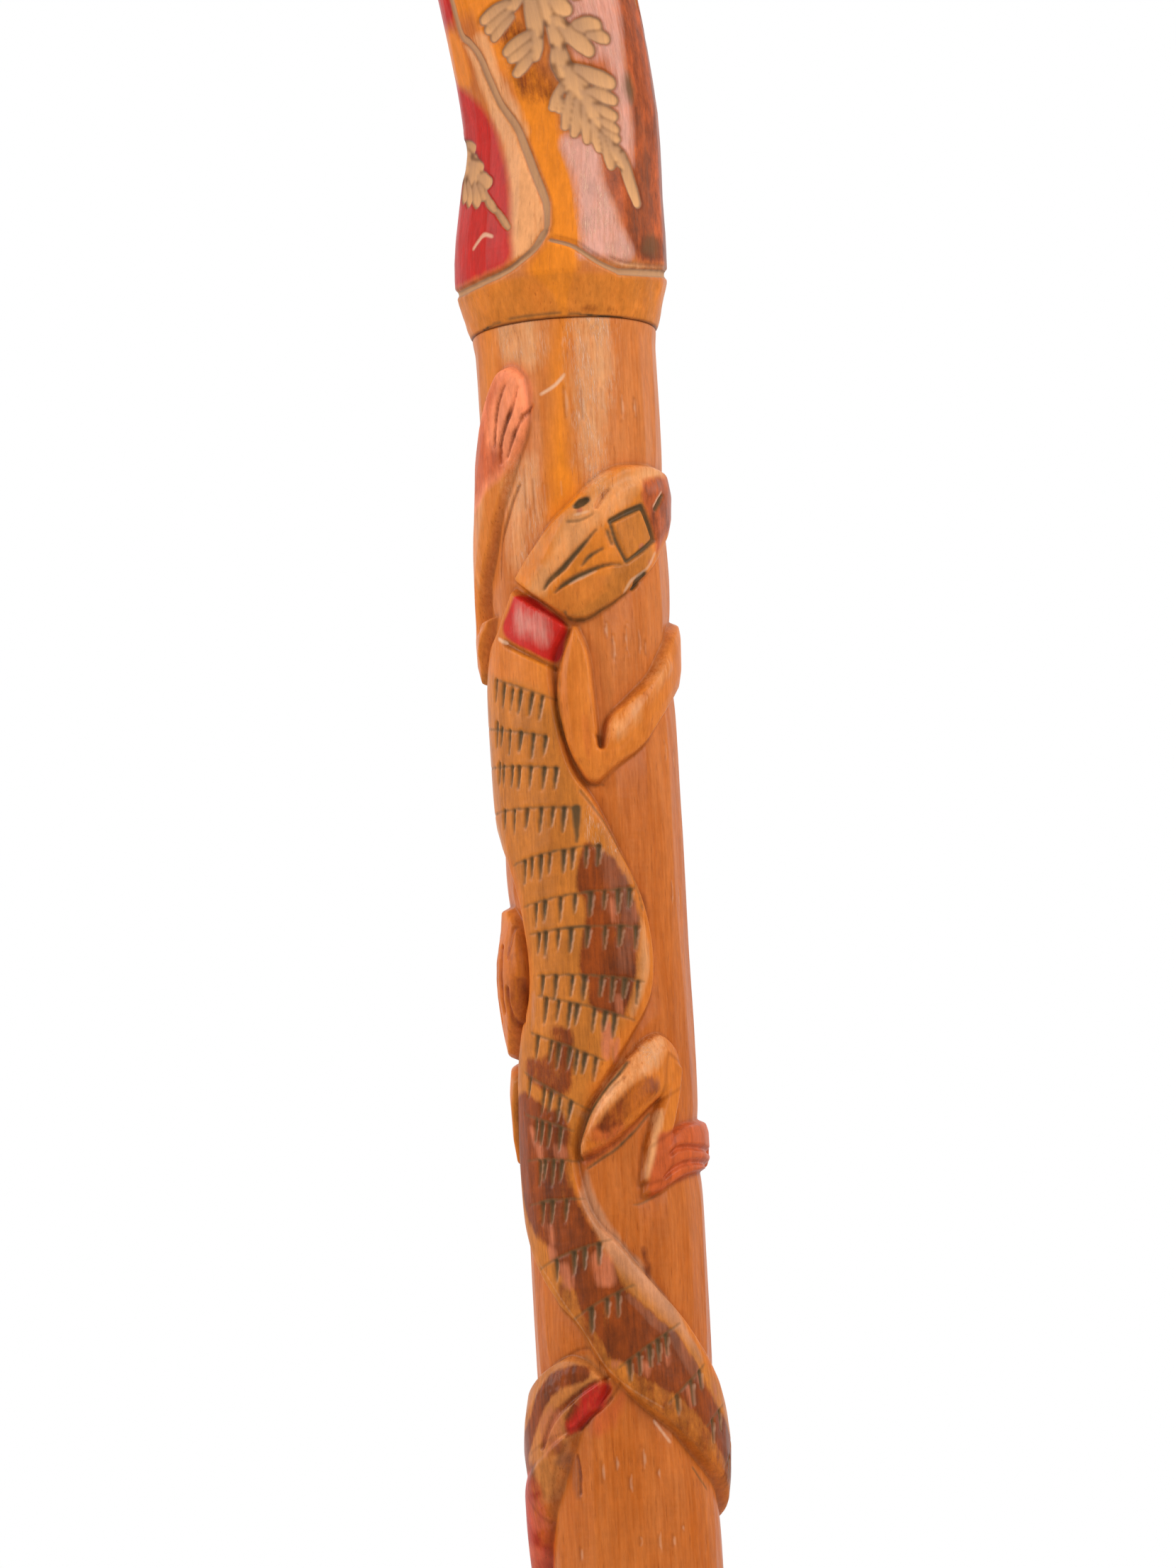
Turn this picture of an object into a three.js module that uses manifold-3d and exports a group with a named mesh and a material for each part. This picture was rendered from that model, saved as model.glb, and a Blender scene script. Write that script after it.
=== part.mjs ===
// A carved wooden walking stick: a crook handle glued to a carved shaft, standing on a rubber tip.
// Millimetres, +Z up along the shaft, the origin at the middle of the tip's foot, the crook towards -X.
// A lizard climbs the shaft below the joint and a snake winds down the shaft below the lizard.
import * as THREE from 'three';
import { mergeVertices } from 'three/addons/utils/BufferGeometryUtils.js';
import Module from 'manifold-3d';

const wasm = await Module();
wasm.setup();

// Shaft
const shaftLength = 766.5;
const shaftTopRadius = 13.05;
const carvingEndRadius = 12.4;
const shaftFootRadius = 10;
const footStraightLength = 40;
const footChamfer = 1;

// Carving on the shaft
const lizardDrop = 176;
const lizardRelief = 2.4;
const carvingRoot = 2;
const snakeHeadDrop = 166;
const snakeBodyDrop = 236;
const snakeStartDegrees = -92;
const snakeBodyTurns = 1.6;
const snakeTaperPower = 2.5;
const snakeHalfWidth = 7;
const snakeTailHalfWidth = 1.3;
const snakeRelief = 2.6;
const snakeTailRelief = 1;

// Handle
const neckLength = 47;
const neckRadius = 13.9;
const collarFootRadius = 13.4;
const collarRadius = 15;
const collarHeight = 9;
const neckLeanDegrees = 9;
const neckLeanStart = 0.5;
const easeRadius = 133;
const easeDegrees = 6.5;
const crookRadius = 48;
const crookDegrees = 173;
const noseLength = 8;
const noseRadius = 12.3;
const noseRoundShare = 0.8;

// Glued joint
const dowelRadius = 6;
const dowelLength = 56;
const dowelChamfer = 0.9;
const glueGap = 0.3;

// Rubber tip and its steel washer
const tipFloor = 12;
const tipFootRadius = 17.5;
const tipFootHeight = 9;
const tipFlareHeight = 7;
const tipSleeveRadius = 14.2;
const tipHeight = 46;
const tipChamfer = 1.2;
const socketClearance = 0.3;
const ribHeight = 2.4;
const ribDepth = 0.9;
const ribSlope = 0.6;
const ribPitch = 6;
const ribCount = 3;
const treadDepth = 1.5;
const treadWidth = 2;
const treadRadius = 7;
const washerThickness = 1.5;
const washerClearance = 0.4;

// Counts of flats round each form
const roundSides = 36;
const handleSides = 26;
const easeSteps = 2;
const crookSteps = 20;
const noseSteps = 4;
const snakeSteps = 24;

// Places worked out from the sizes above
const washerTop = tipFloor + washerThickness;
const jointHeight = washerTop + shaftLength;
const boreRadius = dowelRadius + glueGap;
const boreDepth = dowelLength / 2 + glueGap;
const socketRadius = shaftFootRadius + socketClearance;
const cutOverrun = 1;
const mergeDistance = 0.0001;

// Shares up the collar: height of the collar height, and place from its foot radius to its widest
const collarShares = [
  [0, 0],
  [0.33, 0.5],
  [0.75, 1],
  [1.25, 1],
];

// Shares along the neck: height of the neck length, sideways offset and radius of the neck radius
const neckShares = [
  [0.3, 0.011, 1.06],
  [0.4, 0.053, 1.037],
  [0.49, 0.083, 1.018],
  [0.58, 0.099, 1],
  [0.66, 0.095, 0.997],
  [0.75, 0.07, 0.997],
  [0.83, 0.038, 0.998],
  [1, -0.046, 1],
];

// Shares across a carved form: place from edge to edge, and height of the relief
const crownShares = [
  [0.03, 0.45],
  [0.14, 0.86],
  [0.36, 1],
  [0.64, 1],
  [0.86, 0.86],
  [0.97, 0.45],
];
const rootShares = [1, 0.67, 0.33, 0];

// Carved forms as stations from end to end. Each row holds one edge's angle in degrees and drop share,
// the other edge's angle and drop share, and the relief share. Angle 0 faces -Y, 90 faces +X.
const bodyShares = [
  [-46, 0.213, -8, 0.25, 0.5],
  [-61, 0.242, -19, 0.277, 0.52],
  [-80, 0.262, -19, 0.307, 0.54],
  [-96, 0.3, -15, 0.342, 0.55],
  [-99, 0.35, -9, 0.368, 0.55],
  [-93, 0.39, 3, 0.394, 0.55],
  [-78, 0.416, 16, 0.43, 0.56],
  [-66, 0.44, 27, 0.46, 0.57],
  [-57, 0.47, 34, 0.492, 0.58],
  [-52, 0.51, 36, 0.522, 0.58],
  [-54, 0.545, 32, 0.552, 0.57],
  [-65, 0.572, 18, 0.582, 0.55],
  [-74, 0.605, 0, 0.615, 0.52],
  [-78, 0.645, -16, 0.644, 0.49],
  [-80, 0.682, -23, 0.672, 0.47],
  [-79, 0.715, -19, 0.707, 0.45],
  [-71, 0.742, -11, 0.73, 0.44],
  [-58, 0.768, 1, 0.746, 0.44],
  [-43, 0.793, 15, 0.768, 0.45],
  [-28, 0.814, 30, 0.79, 0.47],
  [-12, 0.849, 44, 0.808, 0.52],
  [10, 0.877, 57, 0.827, 0.6],
  [30, 0.898, 70, 0.846, 0.7],
  [52, 0.922, 84, 0.866, 0.78],
  [77, 0.942, 100, 0.892, 0.78],
  [100, 0.957, 116, 0.922, 0.6],
  [120, 0.966, 126, 0.953, 0.35],
];
const headShares = [
  [-45, 0.208, -8, 0.246, 0.6],
  [-30, 0.186, 2, 0.247, 0.75],
  [-15, 0.164, 13, 0.241, 0.82],
  [0, 0.147, 25, 0.231, 0.84],
  [15, 0.13, 37, 0.22, 0.84],
  [30, 0.121, 47, 0.211, 0.8],
  [50, 0.118, 57, 0.199, 0.72],
  [66, 0.119, 68, 0.185, 0.62],
  [80, 0.121, 80, 0.172, 0.56],
  [92, 0.132, 92, 0.16, 0.4],
];
const leftArmShares = [
  [-27, 0.046, -26, 0.066, 0.4],
  [-35, 0.035, -28, 0.088, 0.55],
  [-47, 0.037, -38, 0.114, 0.56],
  [-60, 0.057, -48, 0.139, 0.56],
  [-74, 0.085, -58, 0.165, 0.58],
  [-86, 0.116, -68, 0.187, 0.66],
  [-98, 0.153, -78, 0.204, 0.82],
  [-109, 0.204, -88, 0.221, 0.95],
  [-109, 0.261, -90, 0.235, 1],
  [-97, 0.284, -82, 0.23, 0.92],
  [-84, 0.27, -70, 0.23, 0.6],
];
const rightArmShares = [
  [-7, 0.25, -2, 0.25, 0.4],
  [-16, 0.281, 4, 0.274, 0.58],
  [-19, 0.309, 6, 0.304, 0.66],
  [-16, 0.338, 7, 0.33, 0.67],
  [-9, 0.363, 7.5, 0.347, 0.67],
  [2, 0.38, 8.5, 0.348, 0.66],
  [18, 0.366, 13, 0.326, 0.62],
  [38, 0.349, 28, 0.309, 0.58],
  [57, 0.323, 48, 0.287, 0.54],
  [75, 0.304, 68, 0.256, 0.52],
  [90, 0.293, 86, 0.242, 0.52],
  [104, 0.281, 102, 0.239, 0.5],
  [114, 0.267, 113, 0.25, 0.33],
];
const rightThighShares = [
  [-21, 0.663, -22, 0.679, 0.35],
  [-12, 0.637, -10, 0.675, 0.58],
  [0, 0.617, 1, 0.668, 0.68],
  [12, 0.6, 14, 0.655, 0.71],
  [25, 0.585, 27, 0.64, 0.71],
  [38, 0.58, 38, 0.63, 0.7],
  [50, 0.591, 45, 0.625, 0.6],
  [54, 0.608, 50, 0.622, 0.4],
];
const rightShinShares = [
  [39, 0.597, 54, 0.606, 0.5],
  [35, 0.625, 50, 0.628, 0.54],
  [28, 0.648, 45, 0.65, 0.5],
  [21, 0.673, 40, 0.67, 0.44],
  [17, 0.702, 36, 0.696, 0.35],
];
const rightFootShares = [
  [24, 0.673, 18, 0.712, 0.3],
  [34, 0.664, 30, 0.709, 0.42],
  [50, 0.653, 48, 0.697, 0.52],
  [70, 0.648, 70, 0.69, 0.54],
  [90, 0.643, 90, 0.686, 0.54],
  [105, 0.641, 105, 0.682, 0.5],
  [116, 0.648, 116, 0.673, 0.33],
];
const leftFootShares = [
  [-92, 0.463, -70, 0.467, 0.45],
  [-100, 0.48, -60, 0.482, 0.75],
  [-104, 0.503, -54, 0.503, 0.95],
  [-105, 0.526, -52, 0.523, 1],
  [-104, 0.549, -57, 0.549, 0.97],
  [-101, 0.568, -70, 0.57, 0.8],
  [-98, 0.588, -84, 0.586, 0.5],
];
const leftLegShares = [
  [-98, 0.495, -98, 0.546, 0.6],
  [-118, 0.497, -116, 0.543, 0.58],
  [-136, 0.506, -130, 0.545, 0.62],
  [-148, 0.54, -132, 0.557, 0.67],
  [-144, 0.591, -126, 0.571, 0.67],
  [-126, 0.634, -112, 0.583, 0.62],
  [-104, 0.665, -94, 0.605, 0.54],
  [-84, 0.676, -76, 0.625, 0.45],
];
const snakeHeadShares = [
  [-12, 0.854, -14, 0.866, 0.3],
  [-24, 0.839, -24, 0.883, 0.5],
  [-38, 0.833, -38, 0.897, 0.66],
  [-52, 0.837, -49, 0.917, 0.76],
  [-67, 0.844, -56, 0.938, 0.86],
  [-86, 0.856, -61, 0.953, 0.93],
  [-106, 0.885, -64, 0.962, 0.97],
];

// Radius of the plain shaft at a height, between its foot, the end of the carving and its top
function shaftRadiusAt(height) {
  const footTop = washerTop + footStraightLength;
  const carvingEnd = jointHeight - lizardDrop;
  if (height > carvingEnd) {
    return THREE.MathUtils.mapLinear(height, carvingEnd, jointHeight, carvingEndRadius, shaftTopRadius);
  }
  const rise = THREE.MathUtils.clamp((height - footTop) / (carvingEnd - footTop), 0, 1);
  return THREE.MathUtils.lerp(shaftFootRadius, carvingEndRadius, rise);
}

// Point at an angle and drop below the joint, a set distance out from the plain shaft
function pointOnShaft(degrees, drop, out) {
  const angle = THREE.MathUtils.degToRad(degrees);
  const height = jointHeight - drop;
  const radius = shaftRadiusAt(height) + out;
  return new THREE.Vector3(radius * Math.sin(angle), -radius * Math.cos(angle), height);
}

// Closed body through a row of rings with equal counts of points, capped at both ends
function loftRings(rings) {
  const count = rings[0].length;
  const positions = [];
  const indices = [];
  for (const ring of rings) {
    for (const point of ring) positions.push(point.x, point.y, point.z);
  }
  for (let ring = 1; ring < rings.length; ring++) {
    for (let side = 0; side < count; side++) {
      const next = (side + 1) % count;
      const low = (ring - 1) * count;
      const high = ring * count;
      indices.push(low + side, low + next, high + next);
      indices.push(low + side, high + next, high + side);
    }
  }
  for (const end of [0, rings.length - 1]) {
    const middle = new THREE.Vector3();
    for (const point of rings[end]) middle.addScaledVector(point, 1 / count);
    const centre = positions.length / 3;
    positions.push(middle.x, middle.y, middle.z);
    for (let side = 0; side < count; side++) {
      const next = (side + 1) % count;
      const first = end * count + side;
      const second = end * count + next;
      if (end === 0) indices.push(centre, second, first);
      else indices.push(centre, first, second);
    }
  }
  const geometry = new THREE.BufferGeometry();
  geometry.setAttribute('position', new THREE.Float32BufferAttribute(positions, 3));
  geometry.setIndex(indices);
  return geometry;
}

// Volume inside a closed geometry, negative when its faces point in
function signedVolume(geometry) {
  const position = geometry.getAttribute('position');
  const index = geometry.getIndex();
  const corners = [new THREE.Vector3(), new THREE.Vector3(), new THREE.Vector3()];
  let volume = 0;
  for (let face = 0; face < index.count; face += 3) {
    corners.forEach((corner, place) => corner.fromBufferAttribute(position, index.getX(face + place)));
    volume += corners[0].dot(corners[1].clone().cross(corners[2])) / 6;
  }
  return volume;
}

// Solid for joining and cutting, from a closed geometry whichever way its faces point
function toSolid(geometry) {
  const bare = geometry.clone();
  bare.deleteAttribute('normal');
  bare.deleteAttribute('uv');
  const merged = mergeVertices(bare, mergeDistance);
  const triangles = Uint32Array.from(merged.getIndex().array);
  if (signedVolume(merged) < 0) triangles.reverse();
  const vertices = Float32Array.from(merged.getAttribute('position').array);
  return new wasm.Manifold(new wasm.Mesh({ numProp: 3, vertProperties: vertices, triVerts: triangles }));
}

function toGeometry(solid) {
  const mesh = solid.getMesh();
  const geometry = new THREE.BufferGeometry();
  geometry.setAttribute('position', new THREE.Float32BufferAttribute(mesh.vertProperties, mesh.numProp));
  geometry.setIndex(Array.from(mesh.triVerts));
  geometry.computeVertexNormals();
  return geometry;
}

// Turned body round +Z from a profile of [radius, height] pairs
function turned(profile) {
  const points = profile.map(([radius, height]) => new THREE.Vector2(radius, height));
  return new THREE.LatheGeometry(points, roundSides).rotateX(Math.PI / 2);
}

// Carved form between two edge lines, its crown standing out of the shaft and its root inside it
function carvedForm(stations) {
  const rings = stations.map(({ first, second, relief }) => {
    const across = (share, out) =>
      pointOnShaft(
        THREE.MathUtils.lerp(first.degrees, second.degrees, share),
        THREE.MathUtils.lerp(first.drop, second.drop, share),
        out,
      );
    const crown = crownShares.map(([place, height]) => across(place, height * relief));
    const root = rootShares.map((place) => across(place, -carvingRoot));
    return [...crown, ...root];
  });
  return toSolid(loftRings(rings));
}

function stationsFromShares(rows, relief) {
  return rows.map(([firstDegrees, firstDrop, secondDegrees, secondDrop, reliefShare]) => ({
    first: { degrees: firstDegrees, drop: firstDrop * lizardDrop },
    second: { degrees: secondDegrees, drop: secondDrop * lizardDrop },
    relief: reliefShare * relief,
  }));
}

// Snake's body: a band that winds down round the shaft and narrows to its tail
function snakeBodyStations() {
  const stations = [];
  for (let step = 0; step <= snakeSteps; step++) {
    const share = step / snakeSteps;
    const drop = snakeHeadDrop + snakeBodyDrop * share;
    const middle = snakeStartDegrees - 360 * snakeBodyTurns * share;
    const radius = shaftRadiusAt(jointHeight - drop);
    const slope = Math.atan2(2 * Math.PI * radius * snakeBodyTurns, snakeBodyDrop);
    const halfWidth = THREE.MathUtils.lerp(snakeHalfWidth, snakeTailHalfWidth, share ** snakeTaperPower);
    const turn = THREE.MathUtils.radToDeg((halfWidth * Math.cos(slope)) / radius);
    const fall = halfWidth * Math.sin(slope);
    stations.push({
      first: { degrees: middle - turn, drop: drop - fall },
      second: { degrees: middle + turn, drop: drop + fall },
      relief: THREE.MathUtils.lerp(snakeRelief, snakeTailRelief, share),
    });
  }
  return stations;
}

function shaftGeometry() {
  const footTop = washerTop + footStraightLength;
  const carvingEnd = jointHeight - lizardDrop;
  const plain = toSolid(
    turned([
      [0, washerTop],
      [shaftFootRadius - footChamfer, washerTop],
      [shaftFootRadius, washerTop + footChamfer],
      [shaftFootRadius, footTop],
      [carvingEndRadius, carvingEnd],
      [shaftTopRadius, jointHeight],
      [boreRadius, jointHeight],
      [boreRadius, jointHeight - boreDepth],
      [0, jointHeight - boreDepth],
    ]),
  );
  const lizard = [
    bodyShares,
    headShares,
    leftArmShares,
    rightArmShares,
    rightThighShares,
    rightShinShares,
    rightFootShares,
    leftFootShares,
    leftLegShares,
  ].map((rows) => carvedForm(stationsFromShares(rows, lizardRelief)));
  const snake = [stationsFromShares(snakeHeadShares, snakeRelief), snakeBodyStations()].map(carvedForm);
  return toGeometry([...lizard, ...snake].reduce((whole, form) => whole.add(form), plain));
}

// Ring of points round a path whose heading leans from +Z towards -X
function handleRing(x, z, leanDegrees, radius) {
  const lean = THREE.MathUtils.degToRad(leanDegrees);
  const ring = [];
  for (let side = 0; side < handleSides; side++) {
    const angle = (2 * Math.PI * side) / handleSides;
    const along = radius * Math.cos(angle);
    ring.push(new THREE.Vector3(x + along * Math.cos(lean), radius * Math.sin(angle), z + along * Math.sin(lean)));
  }
  return ring;
}

function collarRings() {
  return collarShares.map(([heightShare, wideShare]) => {
    const radius = THREE.MathUtils.lerp(collarFootRadius, collarRadius, wideShare);
    return handleRing(0, jointHeight + heightShare * collarHeight, 0, radius);
  });
}

function neckRings() {
  const [collarTopShare] = collarShares[collarShares.length - 1];
  const collarTop = collarTopShare * collarHeight;
  const rows = neckShares.filter(([heightShare]) => heightShare * neckLength > collarTop);
  return rows.map(([heightShare, offsetShare, radiusShare]) => {
    const lean = neckLeanDegrees * THREE.MathUtils.smoothstep(heightShare, neckLeanStart, 1);
    const z = jointHeight + heightShare * neckLength;
    return handleRing(offsetShare * neckRadius, z, lean, radiusShare * neckRadius);
  });
}

// Crook: a slow bend out of the neck, a round arch, a short straight run and a rounded nose
function crookRings() {
  const rings = [];
  const [, lastOffsetShare] = neckShares[neckShares.length - 1];
  let x = lastOffsetShare * neckRadius;
  let z = jointHeight + neckLength;
  let lean = neckLeanDegrees;
  const bend = (radius, degrees) => {
    const from = THREE.MathUtils.degToRad(lean);
    const to = THREE.MathUtils.degToRad(lean + degrees);
    x += radius * (Math.cos(to) - Math.cos(from));
    z += radius * (Math.sin(to) - Math.sin(from));
    lean += degrees;
  };
  for (let step = 1; step <= easeSteps; step++) {
    bend(easeRadius, easeDegrees / easeSteps);
    rings.push(handleRing(x, z, lean, neckRadius));
  }
  for (let step = 1; step <= crookSteps; step++) {
    bend(crookRadius, crookDegrees / crookSteps);
    const share = step / crookSteps;
    rings.push(handleRing(x, z, lean, THREE.MathUtils.lerp(neckRadius, noseRadius, share ** 2)));
  }
  const heading = THREE.MathUtils.degToRad(lean);
  for (let step = 0; step <= noseSteps; step++) {
    const round = (Math.PI / 2) * (step / (noseSteps + 1));
    const run = noseLength + noseRadius * Math.sin(round) * noseRoundShare;
    const noseX = x - run * Math.sin(heading);
    const noseZ = z + run * Math.cos(heading);
    rings.push(handleRing(noseX, noseZ, lean, noseRadius * Math.cos(round)));
  }
  return rings;
}

function handleGeometry() {
  const body = toSolid(loftRings([...collarRings(), ...neckRings(), ...crookRings()]));
  const bore = toSolid(
    turned([
      [0, jointHeight - cutOverrun],
      [boreRadius, jointHeight - cutOverrun],
      [boreRadius, jointHeight + boreDepth],
      [0, jointHeight + boreDepth],
    ]),
  );
  return toGeometry(body.subtract(bore));
}

function dowelGeometry() {
  const low = jointHeight - dowelLength / 2;
  const high = jointHeight + dowelLength / 2;
  return turned([
    [0, low],
    [dowelRadius - dowelChamfer, low],
    [dowelRadius, low + dowelChamfer],
    [dowelRadius, high - dowelChamfer],
    [dowelRadius - dowelChamfer, high],
    [0, high],
  ]);
}

function tipGeometry() {
  const sleeveFoot = tipFootHeight + tipFlareHeight;
  const ribs = [];
  for (let rib = 0; rib < ribCount; rib++) {
    const low = sleeveFoot + ribPitch * rib + ribPitch / 2;
    ribs.push([tipSleeveRadius, low]);
    ribs.push([tipSleeveRadius + ribDepth, low + ribSlope]);
    ribs.push([tipSleeveRadius + ribDepth, low + ribHeight - ribSlope]);
    ribs.push([tipSleeveRadius, low + ribHeight]);
  }
  return turned([
    [0, 0],
    [treadRadius, 0],
    [treadRadius, treadDepth],
    [treadRadius + treadWidth, treadDepth],
    [treadRadius + treadWidth, 0],
    [tipFootRadius - tipChamfer, 0],
    [tipFootRadius, tipChamfer],
    [tipFootRadius, tipFootHeight - tipChamfer],
    [tipFootRadius - tipChamfer, tipFootHeight],
    [tipSleeveRadius, sleeveFoot],
    ...ribs,
    [tipSleeveRadius, tipHeight - tipChamfer],
    [tipSleeveRadius - tipChamfer, tipHeight],
    [socketRadius, tipHeight],
    [socketRadius, tipFloor],
    [0, tipFloor],
  ]);
}

function washerGeometry() {
  const radius = socketRadius - washerClearance;
  return turned([
    [0, tipFloor],
    [radius, tipFloor],
    [radius, washerTop],
    [0, washerTop],
  ]);
}

function piece(name, geometry, color, roughness, metalness = 0) {
  const mesh = new THREE.Mesh(geometry, new THREE.MeshStandardMaterial({ color, roughness, metalness }));
  mesh.name = name;
  return mesh;
}

const stick = new THREE.Group();
stick.add(piece('handle', handleGeometry(), 0xd8873a, 0.35));
stick.add(piece('joint_dowel', dowelGeometry(), 0xd9b98a, 0.7));
stick.add(piece('shaft', shaftGeometry(), 0xc87532, 0.38));
const tip = new THREE.Group();
tip.add(piece('rubber_tip', tipGeometry(), 0x2b2a29, 0.85));
tip.add(piece('tip_washer', washerGeometry(), 0xb8bbbe, 0.4, 1));
stick.add(tip);

export default stick;
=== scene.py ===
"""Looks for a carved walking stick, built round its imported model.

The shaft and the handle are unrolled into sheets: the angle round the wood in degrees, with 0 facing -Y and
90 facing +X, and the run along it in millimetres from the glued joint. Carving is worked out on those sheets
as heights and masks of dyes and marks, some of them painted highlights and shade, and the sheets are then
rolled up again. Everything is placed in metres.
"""
import math

import bpy
import numpy as np
from mathutils import Matrix, Vector


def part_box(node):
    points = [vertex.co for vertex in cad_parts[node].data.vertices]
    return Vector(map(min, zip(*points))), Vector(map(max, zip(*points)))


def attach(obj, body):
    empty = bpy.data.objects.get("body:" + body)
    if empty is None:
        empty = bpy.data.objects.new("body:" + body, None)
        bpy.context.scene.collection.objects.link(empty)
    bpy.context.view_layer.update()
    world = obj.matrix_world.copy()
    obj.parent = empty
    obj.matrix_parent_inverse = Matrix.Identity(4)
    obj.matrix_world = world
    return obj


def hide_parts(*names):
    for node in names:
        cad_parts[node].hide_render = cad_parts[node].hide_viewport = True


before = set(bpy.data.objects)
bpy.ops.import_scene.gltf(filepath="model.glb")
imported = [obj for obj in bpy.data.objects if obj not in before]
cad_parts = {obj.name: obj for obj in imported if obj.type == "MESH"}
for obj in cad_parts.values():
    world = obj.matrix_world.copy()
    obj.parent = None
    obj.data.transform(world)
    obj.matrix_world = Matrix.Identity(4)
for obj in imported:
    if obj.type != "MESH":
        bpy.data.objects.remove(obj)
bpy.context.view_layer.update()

bl_info = {
    "name": "Carved Walking Stick",
    "version": (1, 0, 0),
    "blender": (4, 5, 0),
    "location": "View3D > Sidebar > Stick",
    "description": "Builds the surfaces and finishes of a carved and dyed walking stick",
    "category": "Object",
}

MM = 0.001
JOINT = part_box("shaft")[1].z / MM
FOOT_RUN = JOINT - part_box("shaft")[0].z / MM
TIP_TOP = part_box("rubber_tip")[1].z / MM
TIP_FOOT_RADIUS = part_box("rubber_tip")[1].x / MM
DOWEL_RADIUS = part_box("joint_dowel")[1].x / MM
DOWEL_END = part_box("joint_dowel")[1].z / MM - JOINT
WASHER_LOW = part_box("tip_washer")[0].z / MM

# Shaft and handle sizes in millimetres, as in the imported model
CARVING_END = 176
SHAFT_TOP_RADIUS = 13.05
CARVING_END_RADIUS = 12.4
SHAFT_FOOT_RADIUS = 10
FOOT_STRAIGHT = 40
FOOT_CHAMFER = 1
SHAFT_ROUND = 12.7
HANDLE_ROUND = 14.2
GLUE_GAP = 0.3
NECK = 47
EASE_RADIUS = 133
EASE_DEGREES = 6.5
CROOK_RADIUS = 48
CROOK_DEGREES = 173
NECK_LEAN = 9
NOSE_STRAIGHT = 8
NOSE_RADIUS = 12.3
NOSE_ROUND = 9.8
NECK_RADIUS = 13.9
EASE = EASE_RADIUS * math.radians(EASE_DEGREES)
CROOK = CROOK_RADIUS * math.radians(CROOK_DEGREES)
HANDLE_RUN = NECK + EASE + CROOK + NOSE_STRAIGHT + NOSE_ROUND

# Dyes in the order in which they lie on the wood: raggedness of the edge, cover and mottling
DYES = (
    # the cream row is undyed wood, and it also paints highlights on crests and under the joint
    ("amber", 0.25, 0.9, 0.2), ("cream", 0.6, 0.85, 0.25), ("tan", 0.5, 0.9, 0.5), ("ochre", 0.35, 0.85, 0.5),
    ("coral", 0.2, 0.97, 0.3), ("russet", 0.5, 0.9, 0.9), ("umber", 0.8, 0.96, 1), ("plum", 0.7, 0.9, 0.8),
    ("salmon", 0.8, 0.9, 0.5), ("vermilion", 0.4, 0.9, 0.5), ("scarlet", 0.25, 0.97, 0.35),
    ("violet", 0.5, 0.85, 0.3),
)
MARKS = [row[0] for row in DYES] + ["olive", "leaf", "seam", "pale", "fibres_and_sheen"]
EVERYWHERE = (slice(None), slice(None))
MOAT = 0.35
MOAT_FADE = 2.2
EDGE_STEPS = 12
LEAF_DEPTH = 0.4
FACET_DEPTH = 0.3
SPRAY_PITCH = 5.4


# Maths on whole arrays

def wrap(degrees):
    """The same direction as an angle in -180..180."""
    return (degrees + 180.0) % 360.0 - 180.0


def smooth(value):
    """Eases 0..1 in and out: 3 v^2 - 2 v^3 of the clipped value."""
    value = np.clip(value, 0.0, 1.0)
    return value * value * (3.0 - 2.0 * value)


def pairs(numbers):
    """Places from a flat list: an angle and a run in turn."""
    return np.reshape(numbers, (-1, 2)).astype(float)


def lumps(x, y, z, size, seed):
    """Smooth noise in -1..1: random values on a lattice of cubes of that size, eased between its corners."""
    cells = [np.floor(c / size).astype(np.int64) for c in (x, y, z)]
    parts = [smooth(c / size - i) for c, i in zip((x, y, z), cells)]
    total = np.zeros(np.broadcast(x, y, z).shape)
    for corner in range(8):
        steps = (corner & 1, corner >> 1 & 1, corner >> 2 & 1)
        key = seed * 668265263 + 1442695041
        weight = 1.0
        for cell, part, step, prime in zip(cells, parts, steps, (73856093, 19349663, 83492791)):
            key = key ^ ((cell + step) * prime)
            weight = weight * (part if step else 1.0 - part)
        key = (key ^ (key >> 13)) * 1274126177 & 0x7FFFFFFF
        total = total + weight * ((key ^ (key >> 16)) % 10007 / 5003.0 - 1.0)
    return total


def rounded(points, closed=True, steps=5):
    """A smooth line through points: each stretch is the cubic p1 + (p2-p0)t/2 + ... of Catmull and Rom."""
    p = np.asarray(points, float)
    p = np.concatenate([p[-1:], p, p[:2]]) if closed else np.concatenate([p[:1], p, p[-1:]])
    t = np.linspace(0.0, 1.0, steps, endpoint=False)[:, None, None]
    p0, p1, p2, p3 = p[:-3], p[1:-2], p[2:-1], p[3:]
    line = 0.5 * (
        2 * p1 + (p2 - p0) * t + (2 * p0 - 5 * p1 + 4 * p2 - p3) * t**2 + (3 * p1 - p0 - 3 * p2 + p3) * t**3)
    line = line.transpose(1, 0, 2).reshape(-1, p.shape[1])
    return line if closed else np.concatenate([line, p[-1:]])


def bent(points):
    """An open line, rounded through its points."""
    return rounded(points, closed=False)


def line_distance(x, y, line):
    """Distance to an open line of points, and where its nearest place lies, counted in points."""
    least = np.full(x.shape, 1e9)
    place = np.zeros(x.shape)
    for step, ((x0, y0), (x1, y1)) in enumerate(zip(line, line[1:])):
        dx, dy = x1 - x0, y1 - y0
        t = np.clip(((x - x0) * dx + (y - y0) * dy) / max(dx * dx + dy * dy, 1e-12), 0.0, 1.0)
        gap = (x - x0 - t * dx) ** 2 + (y - y0 - t * dy) ** 2
        place = np.where(gap < least, step + t, place)
        least = np.minimum(least, gap)
    return np.sqrt(least), place


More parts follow.
